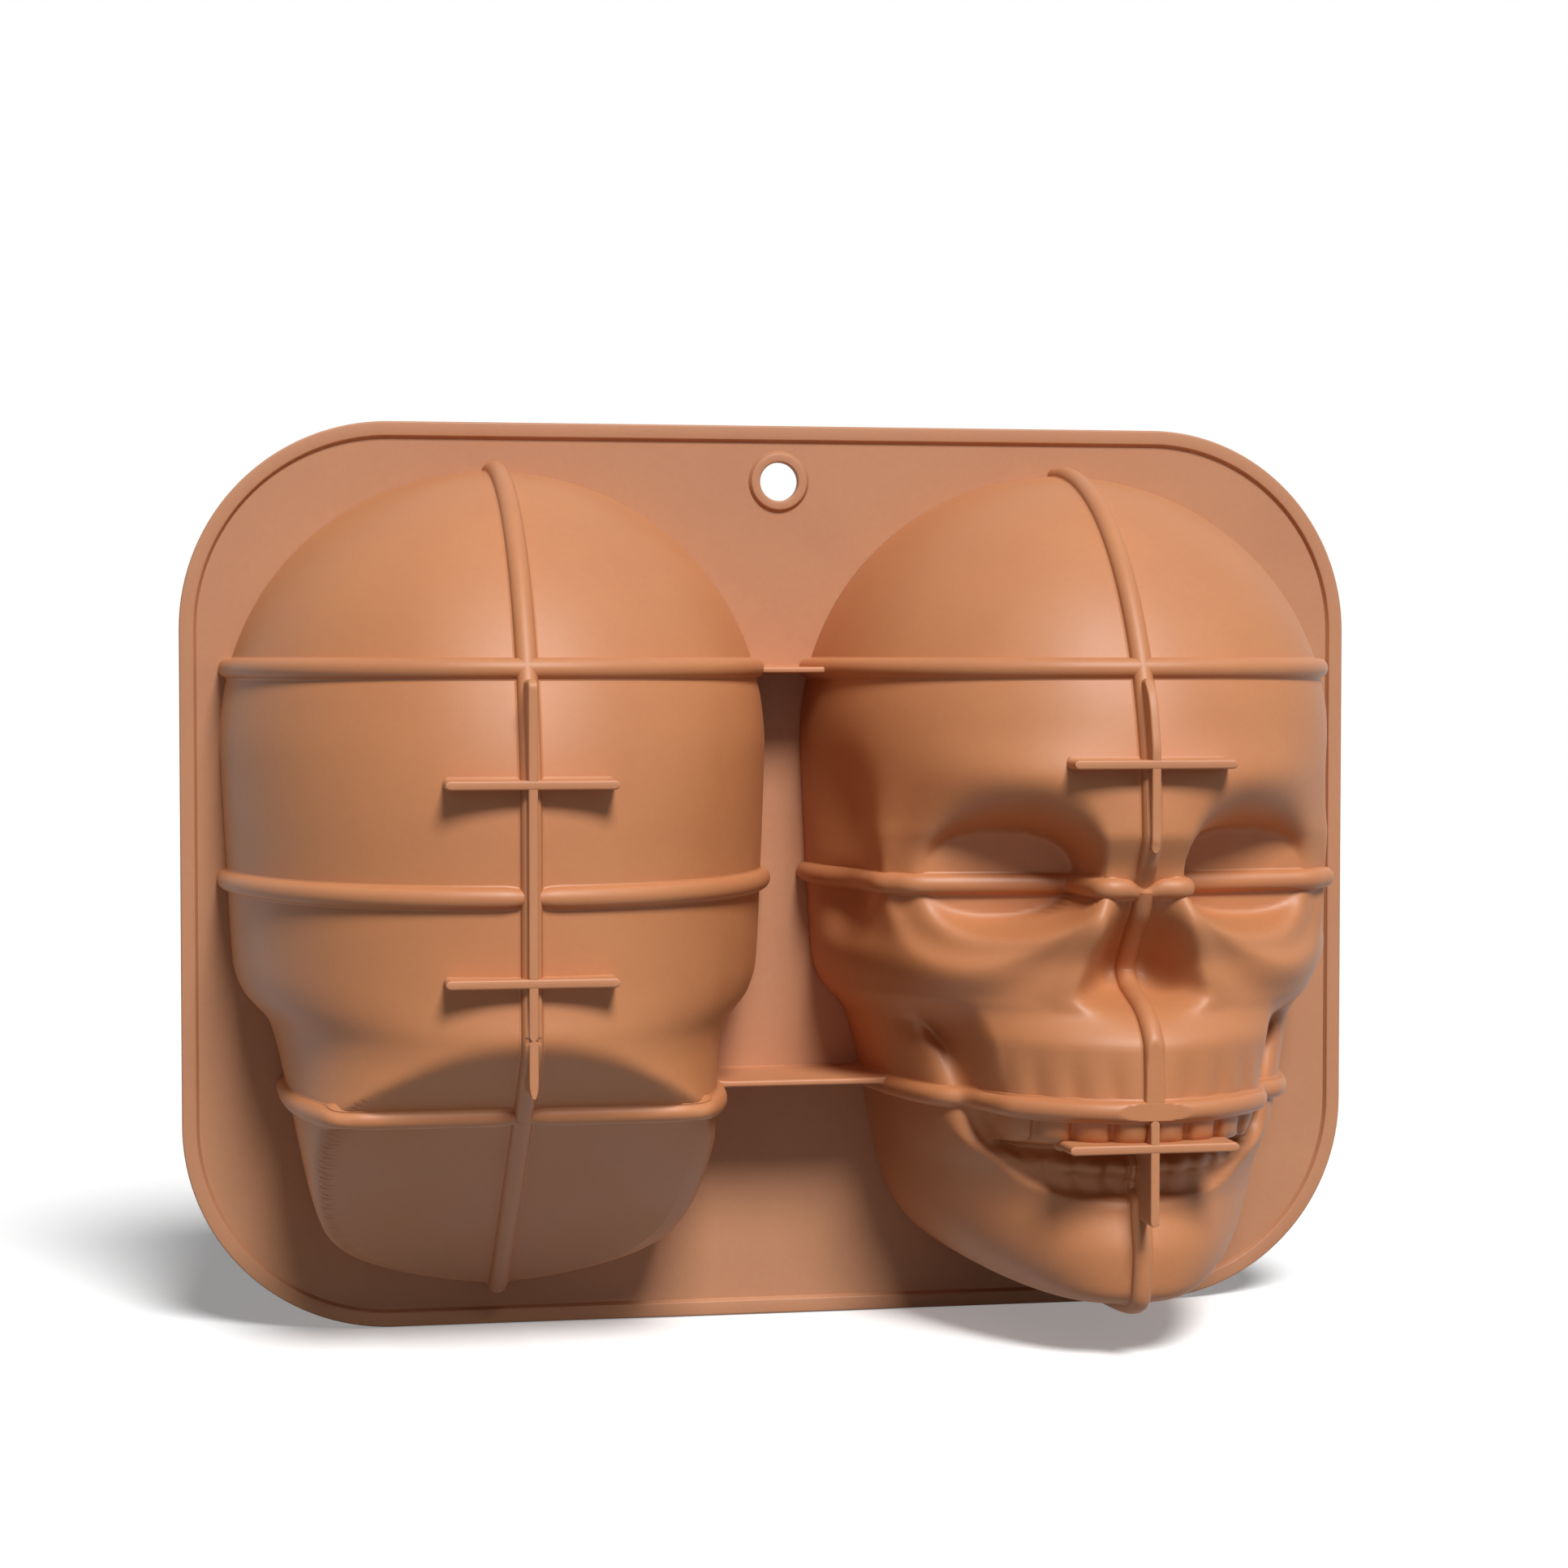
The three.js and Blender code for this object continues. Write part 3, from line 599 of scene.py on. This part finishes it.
finishes = {
    "shell_silicone": moulded_silicone("shell", "#c27f50", "#ba774a", 0.55, 0.9, 0.03),
    # The flange's tone is paler and pinker than the shells': painted sheen, standing in for the
    # light that its flat face reflects.
    "flange_silicone": moulded_silicone("flange", "#be855f", "#b67d59", 0.6, 0.8, 0.04),
    "rib_silicone": moulded_silicone("rib", "#c38052", "#bb784c", 0.53, 0.9, 0.02),
    # The webs' tone is a little lighter than the shells': painted glow, standing in for light that
    # shines through the thin plates.
    "web_silicone": moulded_silicone("web", "#c48459", "#bc7c54", 0.55, 0.9, 0.02),
}
print("finishes:", list(finishes))

# %% [markdown]
# ## The two shells
# Each shell is one closed skin: an outer grid over the half, an inner grid a wall's thickness
# inside it, and two strips under the flange that join their edges. The outer grid is fine, for
# the teeth; the inner one, which follows it, can be coarser. Solidify could give the wall too,
# but its inner copy of the fine teeth would fold through itself.


# %% Shells
def shell_skin(kind, rows, columns):
    """Outer and inner grids over levels and angles, joined along both edges at the flange. Both
    counts are odd, and the inner grid takes every second level and angle."""
    half = HALVES[kind]
    y = even_levels(half, rows)[:, None]
    t = np.linspace(0, np.pi, columns)[None, :]
    outer = to_part(half, around(half, y, t))
    inner = to_part(half, around(half, y[::2], t[:, ::2], -WALL))
    points = np.concatenate([outer.reshape(-1, 3), inner.reshape(-1, 3)])
    count = rows * columns
    inner_rows, inner_columns = inner.shape[:2]
    faces = grid_quads(rows, columns, 0).tolist()
    faces += grid_quads(inner_rows, inner_columns, count).tolist()
    for edge, inner_edge in ((0, 0), (columns - 1, inner_columns - 1)):
        low = np.arange(0, rows - 1, 2) * columns + edge
        near = count + np.arange(inner_rows - 1) * inner_columns + inner_edge
        strip = [low, low + columns, low + 2 * columns, near + inner_columns, near]
        faces += np.stack(strip, axis=1).tolist()
    make_piece(f"{kind}_shell", "skin", points, faces, "shell_silicone")


shell_skin("back", 201, 181)
shell_skin("face", 261, 281)

# %% [markdown]
# ## Ribs and bands
# A rib is a half-round bead with a small fillet at its foot, carried along the surface: across
# a slice for a band, down the median line for a rib. A curve with a bevel would fold in the
# hollows of the face. Here the bead's foot points lie on the surface, or beside a smoothed line
# where the wall is steep, and only its height follows one direction per station, so it never
# folds. No bead reaches past the foot plane.

# %% The bead's section
SKIRT = 0.6
STEEP_SKIRT = 2.6
FILLET = 0.85
FOOT_HALF = RIB_HALF + FILLET
STAGGER = 0.03
bow = np.linspace(0, np.pi, 17)
fillet_side = np.array([FOOT_HALF, RIB_HALF + 0.5, RIB_HALF + 0.15])
fillet_high = np.array([-SKIRT, 0.02, 0.16])
arch_high = 0.4 + (RIB_PROUD - 0.4) * np.sin(bow)
bead_side = np.concatenate([-fillet_side, -RIB_HALF * np.cos(bow), fillet_side[::-1]])
bead_high = np.concatenate([fillet_high, arch_high, fillet_high[::-1]])
print("a bead is", 2 * FOOT_HALF, "mm wide at its foot and", RIB_PROUD, "mm high")


def smooth_along(values, width):
    """A weighted moving average along the first axis, with the end values repeated outwards."""
    kernel = np.hanning(width + 2)[1:-1]
    kernel = kernel / kernel.sum()
    pad = width // 2
    wide = np.concatenate([values[:1].repeat(pad, 0), values, values[-1:].repeat(pad, 0)])
    return np.stack([np.convolve(wide[:, k], kernel, "valid") for k in range(values.shape[1])], 1)


def unit(vectors):
    """Vectors divided by their lengths."""
    return vectors / np.maximum(np.linalg.norm(vectors, axis=-1, keepdims=True), 1e-9)


def bead(node, half, foot, along, aside, pinch, skirt, limit):
    """Foot points plus height along the normal, which is the along tangent times the aside one.
    The section's two lowest corners lie a skirt's height under the surface, and no point lies
    deeper than the limit. Limits differ by a stagger, so that no two faces lie in one plane."""
    normal = unit(smooth_along(unit(np.cross(along, aside)), 7))
    middle = foot[:, foot.shape[1] // 2]
    outward = middle * [1, 0, 1] + [0, 0, 1e-3]
    normal = normal * np.sign(np.sum(normal * outward, axis=1, keepdims=True))
    high = np.where(bead_high == -SKIRT, -skirt, bead_high * pinch[:, None])[..., None]
    points = foot + high * normal[:, None, :]
    points[..., 2] = np.minimum(points[..., 2], limit)
    faces = tube_faces(*points.shape[:2])
    make_piece(node, "bead", to_part(half, points), faces, "rib_silicone", crisp_angle=24)


# %% Bands round the halves
BAND_STATIONS = 331
MIDDLE_PINCH = {"back_middle_band": 0.32, "back_nape_band": 0.32}


def band(kind, level, node):
    """A bead at one level, at stations evenly spaced along it; the foot points spread along y.
    The jaw band lies on the gums, over the gaps between the teeth. The eye, jaw and nape bands
    climb steep walls, so they follow a smoothed line, with a deeper skirt, not the surface. A
    band may be pinched, lower and narrower, where it crosses the median line."""
    half = GUMS if node == "face_jaw_band" else HALVES[kind]
    t = even_angles(half, level, BAND_STATIONS)
    line = around(half, np.full_like(t, level), t)
    above = around(half, np.full_like(t, level + 0.4), t)
    below = around(half, np.full_like(t, level - 0.4), t)
    aside = (above - below) / 0.8
    pinch = 1 - MIDDLE_PINCH.get(node, 0) * bell(line[:, 0] / FOOT_HALF)
    if node == "face_eye_band":
        notch = bell(line[:, 0] / 2.6)
        pinch = 1 - 0.5 * notch
        line = smooth_along(line, 11) - [0, 1.1, 0] * notch[:, None]
        aside = np.tile([0.0, 1.0, 0.0], (len(t), 1))
    elif level < 0:
        line = smooth_along(line, 9)
        aside = unit(smooth_along(unit(aside), 21))
    if level < 0 or node == "face_eye_band":
        skirt = STEEP_SKIRT
        foot = line[:, None, :] + bead_side[None, :, None] * (aside * pinch[:, None])[:, None, :]
    else:
        skirt = SKIRT
        reach = 1 / np.clip(np.linalg.norm(aside, axis=1), 1.0, 1.4)
        y = level + bead_side[None, :] * (reach * pinch)[:, None]
        foot = around(half, y, t[:, None])
    along = np.gradient(line, axis=0)
    bead(node, half, foot, along, aside, pinch, skirt, FOOT_DEPTH - STAGGER)


for kind, nodes in (
    ("back", ("back_upper_band", "back_middle_band", "back_nape_band")),
    ("face", ("face_forehead_band", "face_eye_band", "face_jaw_band")),
):
    for level, node in zip(BAND_LEVELS, nodes):
        band(kind, level, node)


# %% Median ribs
CHIN_RIB_TOP_Y = -61.0
NAPE_RIB_END_Y = -98.6


def median_rib(kind, start, stop, node):
    """A bead down the median line between two levels. The forehead rib sinks into the bridge of
    the nose just above the eye band, and the nape rib keeps its width down to the chin."""
    half = HALVES[kind]
    y = even_levels(half, 500)
    y = np.concatenate([[start], y[(y < start - 0.2) & (y > stop + 0.2)], [stop]])
    line = over(half, y, 0 * y)
    along = np.gradient(line, axis=0)
    aside = np.tile([1.0, 0.0, 0.0], (len(y), 1))
    if node == "back_nape_rib":
        foot = line[:, None, :] + bead_side[None, :, None] * [1, 0, 0]
    else:
        foot = over(half, y[:, None], bead_side[None, :])
    fade = 0.15 + 0.85 * ease(y, 0.5, 7) if node == "face_forehead_rib" else np.ones_like(y)
    bead(node, half, foot, along, aside, fade, SKIRT, FOOT_DEPTH - 2 * STAGGER)


stops = [CROWN_Y, *BAND_LEVELS, CHIN_Y]
for kind, nodes in (
    ("back", ("back_crown_rib", "back_upper_rib", "back_lower_rib", "back_nape_rib")),
    ("face", ("face_crown_rib", "face_forehead_rib", "face_nose_rib", "face_chin_rib")),
):
    for number, node in enumerate(nodes):
        start = CHIN_RIB_TOP_Y if node == "face_chin_rib" else stops[number]
        stop = NAPE_RIB_END_Y if node == "back_nape_rib" else stops[number + 1]
        median_rib(kind, start, stop, node)

# %% [markdown]
# ## Foot webs and foot bars
# The mould stands on thin plates, upright on the skull: one along each median line and four
# short ones across it. A plate could be a box with a Bevel, but its root has to follow the
# curved surface under it. So it is a rounded section carried along a line, whose root spreads
# into a small fillet on the surface and whose edge lies in the foot plane.

# %% The plate's section
WEB_THICK = 2.1
WEB_FILLET = 0.7
WEB_ROUND = 0.45
ROOT_SUNK = 1.2
corner = np.linspace(0, np.pi / 2, 4)
corner_side = WEB_THICK / 2 - WEB_ROUND * (1 - np.sin(corner))
corner_deep = WEB_ROUND * (1 - np.cos(corner))
fillet_steps = WEB_FILLET * np.array([1.0, 1.0, 0.35, 0.0])
plate_side = np.concatenate([WEB_THICK / 2 + fillet_steps, [WEB_THICK / 2], corner_side[::-1]])
print("a web is", WEB_THICK, "mm thick and", 2 * plate_side[0], "mm wide at its root")


def plate(node, half, line, roots, edges, taper, level=None):
    """A plate in millimetres along a line: the median line, or a line across it at a level.
    Each station has a root depth, an edge depth and a taper, by which its width is multiplied.
    The median plates end a hair short of the foot plane, so that no two faces lie in one."""
    low = edges[:, None] - 0.5
    root = np.minimum(roots[:, None] + [0, 0.35 * WEB_FILLET, WEB_FILLET], low)
    edge = edges[:, None] - np.concatenate([[1.2], corner_deep[::-1]])
    deep = np.concatenate([roots[:, None] - ROOT_SUNK, root, edge], axis=1)
    side = plate_side[None, :] * taper[:, None]
    ring_side = np.concatenate([side, -side[:, ::-1]], axis=1)
    ring_deep = np.concatenate([deep, deep[:, ::-1]], axis=1)
    run = np.broadcast_to(line[:, None], ring_side.shape)
    if level is None:
        ring_deep = np.minimum(ring_deep, FOOT_DEPTH - 3 * STAGGER)
        points = np.stack([ring_side, run, ring_deep], axis=-1)
    else:
        ring_deep = np.minimum(ring_deep, FOOT_DEPTH)
        points = np.stack([run, level + ring_side, ring_deep], axis=-1)
    faces = tube_faces(*points.shape[:2])
    make_piece(node, "plate", to_part(half, points), faces, "web_silicone", crisp_angle=50)


def end_taper(line, length):
    """1 along the line, falling over a quarter circle at both ends."""
    near = np.minimum(line - line.min(), line.max() - line)
    u = np.clip(1 - near / length, 0, 1)
    return np.sqrt(np.maximum(1 - 0.85 * u * u, 0.05))


# %% Median webs
WEB_TOP_Y = 47.8
BACK_BARS_Y = (24.8, -18.5)
TAIL_TOP_Y = -31.0
TAIL_END_Y = -43.6
FOREHEAD_BAR_Y = 28.5
FOREHEAD_END_Y = 8.6
MOUTH_WEB_TOP_Y = -52.0
MOUTH_BAR_Y = -58.4
MOUTH_WEB_END_Y = -76.2
WEB_STEP = 0.5
foot_edge = {
    "back": through([(48, 83.6), (47.4, 85.1), (46.6, 85.8), (45.5, 86), (-50, 86)]),
    "face": through(
        [(48, 79), (44, 82.5), (38, 84.6), (30, 86), (12, 86), (9, 85.4), (-52, 86), (-77, 86)]
    ),
}


def median_web(kind, start, stop, node, on_rib=True, point=0.8):
    """A plate down the median line, standing on the rib's crest or on the bare surface. Its
    lower end comes to a point over a given length."""
    half = HALVES[kind]
    y = np.linspace(start, stop, max(int(abs(start - stop) / WEB_STEP), 6))
    lift = RIB_PROUD - 0.5 if on_rib else 0.0
    edges = foot_edge[kind](y)
    roots = np.minimum(over(half, y, 0 * y, lift)[:, 2], edges - 0.6)
    taper = np.where(y > (start + stop) / 2, end_taper(y, 0.8), end_taper(y, point))
    plate(node, half, y, roots, edges, taper)


median_web("back", WEB_TOP_Y, BACK_BARS_Y[0], "back_foot_web_upper")
median_web("back", BACK_BARS_Y[0], BACK_BARS_Y[1], "back_foot_web_middle")
median_web("back", BACK_BARS_Y[1], TAIL_TOP_Y, "back_foot_web_lower")
median_web("back", TAIL_TOP_Y, TAIL_END_Y, "back_foot_web_tail", point=3.5)
median_web("face", WEB_TOP_Y, FOREHEAD_BAR_Y, "forehead_foot_web_upper")
median_web("face", FOREHEAD_BAR_Y, FOREHEAD_END_Y, "forehead_foot_web_lower")
median_web("face", MOUTH_WEB_TOP_Y, MOUTH_BAR_Y, "mouth_foot_web_upper", False)
median_web("face", MOUTH_BAR_Y, MOUTH_WEB_END_Y, "mouth_foot_web_lower", False)

# %% Foot bars
BAR_LENGTH = 38.0
MOUTH_BAR_LENGTH = 39.5


def foot_bar(kind, level, length, node):
    """A plate across the median line at one level, its root on the surface."""
    half = HALVES[kind]
    x = np.linspace(-length / 2, length / 2, 81)
    roots = over(half, np.full_like(x, level), x)[:, 2] - 0.3
    edges = np.full_like(x, FOOT_DEPTH)
    plate(node, half, x, roots, edges, end_taper(x, 0.9), level)


foot_bar("back", BACK_BARS_Y[0], BAR_LENGTH, "back_upper_foot_bar")
foot_bar("back", BACK_BARS_Y[1], BAR_LENGTH, "back_lower_foot_bar")
foot_bar("face", FOREHEAD_BAR_Y, BAR_LENGTH, "forehead_foot_bar")
foot_bar("face", MOUTH_BAR_Y, MOUTH_BAR_LENGTH, "mouth_foot_bar")

# %% [markdown]
# ## Tie webs
# Two thin plates join the halves under the flange, near the crowns and near the jaws. Each runs
# from wall to wall. A plain box would stick through the walls into the cavities, so the plate's
# ends are found on the slices of both halves at its level, depth by depth.

# %% Tie webs
TIE_THICK = 1.5
TIE_ROUND = 0.6
TIE_SUNK = 0.8
TIE_ROWS = 30


def wall_place(kind, level, deep):
    """How far from its median line the wall of a half is at a level and a depth."""
    half = HALVES[kind]
    t = np.linspace(0, np.pi / 2, 400)
    points = around(half, np.full_like(t, level), t)
    return np.interp(deep, points[:, 2], points[:, 0])


def tie_web(level, depth, node):
    """A plate from wall to wall: u runs across, v from the flange to the free edge. It is
    rounded at the free edge and thicker towards the flange and the walls."""
    turn = bow[:9]
    low = depth - TIE_ROUND
    v = np.concatenate([np.linspace(-0.4, low, TIE_ROWS), low + TIE_ROUND * np.sin(turn)])
    slim = np.concatenate([np.ones(TIE_ROWS), np.cos(turn * 0.85)])
    slim = slim + 0.7 * bell((v + 0.4) / 0.8)
    left = -HALF_PITCH + wall_place("face", level, np.maximum(v, 0)) - TIE_SUNK
    right = HALF_PITCH - wall_place("back", level, np.maximum(v, 0)) + TIE_SUNK
    u = np.linspace(0, 1, TIE_ROWS)[:, None]
    x = left[None, :] * (1 - u) + right[None, :] * u
    join = 1 + 0.8 * bell(u * 18) + 0.8 * bell((1 - u) * 18)
    offset = TIE_THICK / 2 * slim[None, :] * join
    z = np.broadcast_to(SHEET_UNDER - v[None, :], x.shape)
    sides = [np.stack([x, level + sign * offset, z], axis=-1) for sign in (1, -1)]
    ring = np.concatenate([sides[0], sides[1][:, ::-1]], axis=1)
    faces = tube_faces(*ring.shape[:2])
    make_piece(node, "plate", ring, faces, "web_silicone", crisp_angle=50)


tie_web(49.6, 20.6, "upper_tie_web")
tie_web(-48.9, 27.0, "lower_tie_web")

# %% [markdown]
# ## Flange, border and hanging hole
# The flange is a flat sheet with three holes. A sheet with Booleans would leave long sliver
# faces and hard edges. Here its flat faces are filled between the outlines, and a quarter-round
# lip, carried round each outline, softens the upper edge as the tool does. The raised border
# and the ring round the hanging hole are profiles carried round an outline too.

# %% Outlines
CORNER_POINTS = 33
HOLE_POINTS = 72
MOUTH_LEVELS = 120


def flange_outline(inset):
    """Points round a rounded rectangle inside the flange's edge, and their outward normals."""
    x = FLANGE_LENGTH / 2 - CORNER_RADIUS
    y = FLANGE_WIDTH / 2 - CORNER_RADIUS
    quarter = np.linspace(0, np.pi / 2, CORNER_POINTS)
    turn = np.concatenate([q * np.pi / 2 + quarter for q in range(4)])
    centre = np.repeat([(x, y), (-x, y), (-x, -y), (x, -y)], CORNER_POINTS, axis=0)
    normal = np.stack([np.cos(turn), np.sin(turn)], axis=1)
    return centre + (CORNER_RADIUS - inset) * normal, normal


def hang_outline():
    """Points round the hanging hole, and their outward normals."""
    turn = np.linspace(0, 2 * np.pi, HOLE_POINTS + 1)[:-1]
    normal = np.stack([np.cos(turn), np.sin(turn)], axis=1)
    return HANG_RADIUS * normal + [0, HANG_Y], normal


def cavity_outline(kind):
    """Points round the mouth of a cavity, and their normals out of the cavity."""
    half = HALVES[kind]
    y = even_levels(half, MOUTH_LEVELS)
    right = to_part(half, around(half, y, 0 * y, -WALL))[:, :2]
    left = to_part(half, around(half, y, 0 * y + np.pi, -WALL))[:, :2]
    loop = np.concatenate([right, left[::-1][1:-1]])
    ahead = np.roll(loop, -1, axis=0) - np.roll(loop, 1, axis=0)
    normal = unit(np.stack([ahead[:, 1], -ahead[:, 0]], axis=1))
    away = loop - loop.mean(axis=0)
    flip = np.sign(np.sum(normal * away, axis=1).mean())
    return loop, normal * flip


def carry(loop, normal, profile):
    """A closed or open profile of (offset along the normal, height) carried round a loop."""
    profile = np.asarray(profile, float)
    flat = loop[:, None, :] + normal[:, None, :] * profile[None, :, :1]
    high = np.broadcast_to(profile[None, :, 1], flat.shape[:2])
    return np.concatenate([flat, high[..., None]], axis=-1)


# %% The sheet
LIP = 0.7
SHEET_INSET = 0.02
quarter_turn = np.linspace(0, np.pi / 2, 5)


def flange_sheet():
    """Lips round four outlines, and two flat faces filled between their edges. The sheet lies a
    hair inside the border's own edge, so that their faces don't fall together."""
    top_lip = [(LIP * np.sin(a) - LIP, SHEET_TOP - LIP + LIP * np.cos(a)) for a in quarter_turn]
    outer_profile = [*top_lip, (0, SHEET_UNDER)]
    hole_profile = [(-offset, z) for offset, z in outer_profile]
    loops = [
        (flange_outline(SHEET_INSET), outer_profile),
        (cavity_outline("back"), hole_profile),
        (cavity_outline("face"), hole_profile),
        (hang_outline(), hole_profile),
    ]
    points, faces, tops, unders = [], [], [], []
    start = 0
    for (loop, normal), profile in loops:
        wall = carry(loop, normal, profile)
        rows, columns = wall.shape[:2]
        faces += grid_quads(rows, columns, start, wrap_rows=True).tolist()
        number = start + np.arange(rows) * columns
        tops.append((wall[:, 0], number))
        unders.append((wall[:, -1], number + columns - 1))
        points.append(wall.reshape(-1, 3))
        start += rows * columns
    for side in (tops, unders):
        numbers = np.concatenate([n for _, n in side])
        fill = tessellate_polygon([[Vector(p) for p in loop] for loop, _ in side])
        faces += [[int(numbers[k]) for k in triangle] for triangle in fill]
    places = np.concatenate(points)
    make_piece("flange_sheet", "skin", places, faces, "flange_silicone", crisp_angle=40)


flange_sheet()

# %% Border and ring
SHOULDER = 0.45
LINE_SUNK = 0.3


def raised_line(node, outline, width, side):
    """A low raised line with rounded shoulders and a fillet at its far foot, under the flange.
    It runs along an outline and is width wide, inside it where side is -1, outside where 1."""
    low = SHEET_UNDER - RIM_HEIGHT
    sunk = SHEET_UNDER + LINE_SUNK
    near = [(SHOULDER * (1 - np.cos(a)), low + SHOULDER * (1 - np.sin(a))) for a in quarter_turn]
    # The far shoulder is the near one with across and down exchanged
    far = [(width - z + low, low + offset) for offset, z in near]
    foot = [(width + 0.1, SHEET_UNDER - 0.3), (width + 0.5, SHEET_UNDER - STAGGER)]
    profile = [(0, sunk), (0, SHEET_UNDER - 0.2), *near, *far, *foot, (width + 0.5, sunk)]
    ring = carry(*outline, [(side * offset, z) for offset, z in profile])
    rows, columns = ring.shape[:2]
    faces = grid_quads(rows, columns, 0, wrap_rows=True, wrap_columns=True)
    make_piece(node, "profile", ring, faces, "flange_silicone", crisp_angle=60)


raised_line("rim_bead", flange_outline(0), RIM_WIDTH, -1)
raised_line("hang_eye_boss", hang_outline(), HANG_BOSS - HANG_RADIUS, 1)

# %% [markdown]
# ## The stage
# The photograph shows the mould from its foot side, standing on its lower long edge on a pale
# floor. In this frame that floor is an upright plane under the long edge. It could be white
# paint under strong lamps, but those would bleach the mould. Instead only the rays that are
# seen find it bright, and the rays that carry its light to the mould find it grey. It is
# see-through from behind, so that it hides nothing in the other views.


# %% Which rays see the white stage
def seen_ray(tree):
    """1 for a ray that is seen directly, mirrored or through glass, 0 for one that only lights."""
    ray = add_node(tree, "ShaderNodeLightPath")
    mirrored = add_node(tree, "ShaderNodeMath", {"operation": "MAXIMUM"},
                        {0: ray.outputs["Is Glossy Ray"], 1: ray.outputs["Is Transmission Ray"]})
    seen = add_node(tree, "ShaderNodeMath", {"operation": "MAXIMUM"},
                    {0: ray.outputs["Is Camera Ray"], 1: mirrored.outputs["Value"]})
    return seen.outputs["Value"]


# %% Floor
FLOOR_GAP = 0.2
FLOOR_REACH = 3.0


def pale_floor():
    """A square plane just under the lower long edge, its face towards the mould."""
    y = -(FLANGE_WIDTH / 2 + FLOOR_GAP) / 1000
    far = FLOOR_REACH
    corners = [(-far, y, -far), (far, y, -far), (far, y, far), (-far, y, far)]
    mesh = bpy.data.meshes.new("pale_floor")
    mesh.from_pydata(corners, [], [(3, 2, 1, 0)])
    floor = bpy.data.objects.new("pale_floor", mesh)
    bpy.context.scene.collection.objects.link(floor)
    material = bpy.data.materials.new("pale_floor_paint")
    material.use_nodes = True
    tree = material.node_tree
    tree.nodes.clear()
    grey = add_node(tree, "ShaderNodeBsdfDiffuse", {"Color": linear("#707070")})
    paint = add_node(tree, "ShaderNodeBsdfDiffuse", {"Color": linear("#f4f4f4")})
    glow = add_node(tree, "ShaderNodeEmission", {"Color": linear("#ffffff"), "Strength": 0.25})
    lit = add_node(tree, "ShaderNodeAddShader", None,
                   {0: paint.outputs["BSDF"], 1: glow.outputs["Emission"]})
    both = add_node(tree, "ShaderNodeMixShader", None,
                    {"Fac": seen_ray(tree), 1: grey.outputs["BSDF"], 2: lit.outputs["Shader"]})
    clear = add_node(tree, "ShaderNodeBsdfTransparent")
    side = add_node(tree, "ShaderNodeNewGeometry")
    mix = add_node(tree, "ShaderNodeMixShader", None,
                   {"Fac": side.outputs["Backfacing"], 1: both.outputs["Shader"],
                    2: clear.outputs["BSDF"]})
    add_node(tree, "ShaderNodeOutputMaterial", None, {"Surface": mix.outputs["Shader"]})
    mesh.materials.append(material)
    print("the floor lies at y =", y, "m")


pale_floor()


# %% [markdown]
# ## Light
# The photograph is lit mainly from above and from the camera's side, softly, in pale
# surroundings. An area lamp would do too, but its light falls off along the mould. A sun lamp
# with a wide disc lights it evenly and gives the same soft shadow edges. The world adds a little
# light from all round, while it looks plain white itself.


# %% Key lamp
def sun_lamp(name, towards, spread, power):
    """A far lamp seen in the direction towards, spread over some degrees for soft shadows."""
    lamp = bpy.data.lights.new(name, "SUN")
    lamp.energy = power
    lamp.angle = math.radians(spread)
    lamp_object = bpy.data.objects.new(name, lamp)
    bpy.context.scene.collection.objects.link(lamp_object)
    lamp_object.rotation_euler = (-Vector(towards)).to_track_quat("-Z", "Y").to_euler()
    print(name, "shines from", towards)


sun_lamp("key_lamp", towards=(-0.105, 0.735, -0.67), spread=19, power=3.6)


# %% Surroundings
def pale_room(strength):
    """A world that is white where it is seen, and lights the mould at a given strength."""
    world = bpy.data.worlds.new("studio")
    bpy.context.scene.world = world
    world.use_nodes = True
    tree = world.node_tree
    tree.nodes.clear()
    white = linear("#ffffff")
    room = add_node(tree, "ShaderNodeBackground", {"Color": white, "Strength": strength})
    seen = add_node(tree, "ShaderNodeBackground", {"Color": white, "Strength": 1.0})
    either = add_node(tree, "ShaderNodeMixShader", None,
                      {"Fac": seen_ray(tree), 1: room.outputs["Background"],
                       2: seen.outputs["Background"]})
    add_node(tree, "ShaderNodeOutputWorld", None, {"Surface": either.outputs["Shader"]})


pale_room(0.05)

# %% [markdown]
# ## The camera
# The camera was solved from the photograph: its place, two small turns and a long lens. It
# could be turned by hand until the edges meet, but a fit to the flange's outline, the bands and
# the foot bars is good to about half a pixel. The photograph looks at the foot side, so its
# right is this frame's minus X and its depth is this frame's plus Z.

# %% Camera
PITCH_DEGREES = 2.1413
YAW_DEGREES = 10.7895
CAMERA_PLACE_M = (0.1549, 0.0527, -0.7339)
FOCAL_PIXELS = 4184.19
PHOTO_PIXELS = 1932
SENSOR_MM = 36.0


def photo_camera():
    """Turns by pitch and yaw as in the fit, then half a turn about Y into this frame."""
    turn_pitch = np.array(Matrix.Rotation(math.radians(PITCH_DEGREES), 3, "X"))
    turn_yaw = np.array(Matrix.Rotation(math.radians(YAW_DEGREES), 3, "Y"))
    axes = (turn_pitch @ turn_yaw) * [-1, 1, -1]
    data = bpy.data.cameras.new("photo_camera")
    data.sensor_fit = "HORIZONTAL"
    data.sensor_width = SENSOR_MM
    data.lens = SENSOR_MM * FOCAL_PIXELS / PHOTO_PIXELS
    camera = bpy.data.objects.new("photo_camera", data)
    bpy.context.scene.collection.objects.link(camera)
    pose = np.eye(4)
    pose[:3, :3] = axes.T
    pose[:3, 3] = CAMERA_PLACE_M
    camera.matrix_world = Matrix(pose.tolist())
    bpy.context.scene.camera = camera
    print("lens:", round(data.lens, 2), "mm")


photo_camera()
bpy.context.scene.view_settings.view_transform = "Standard"
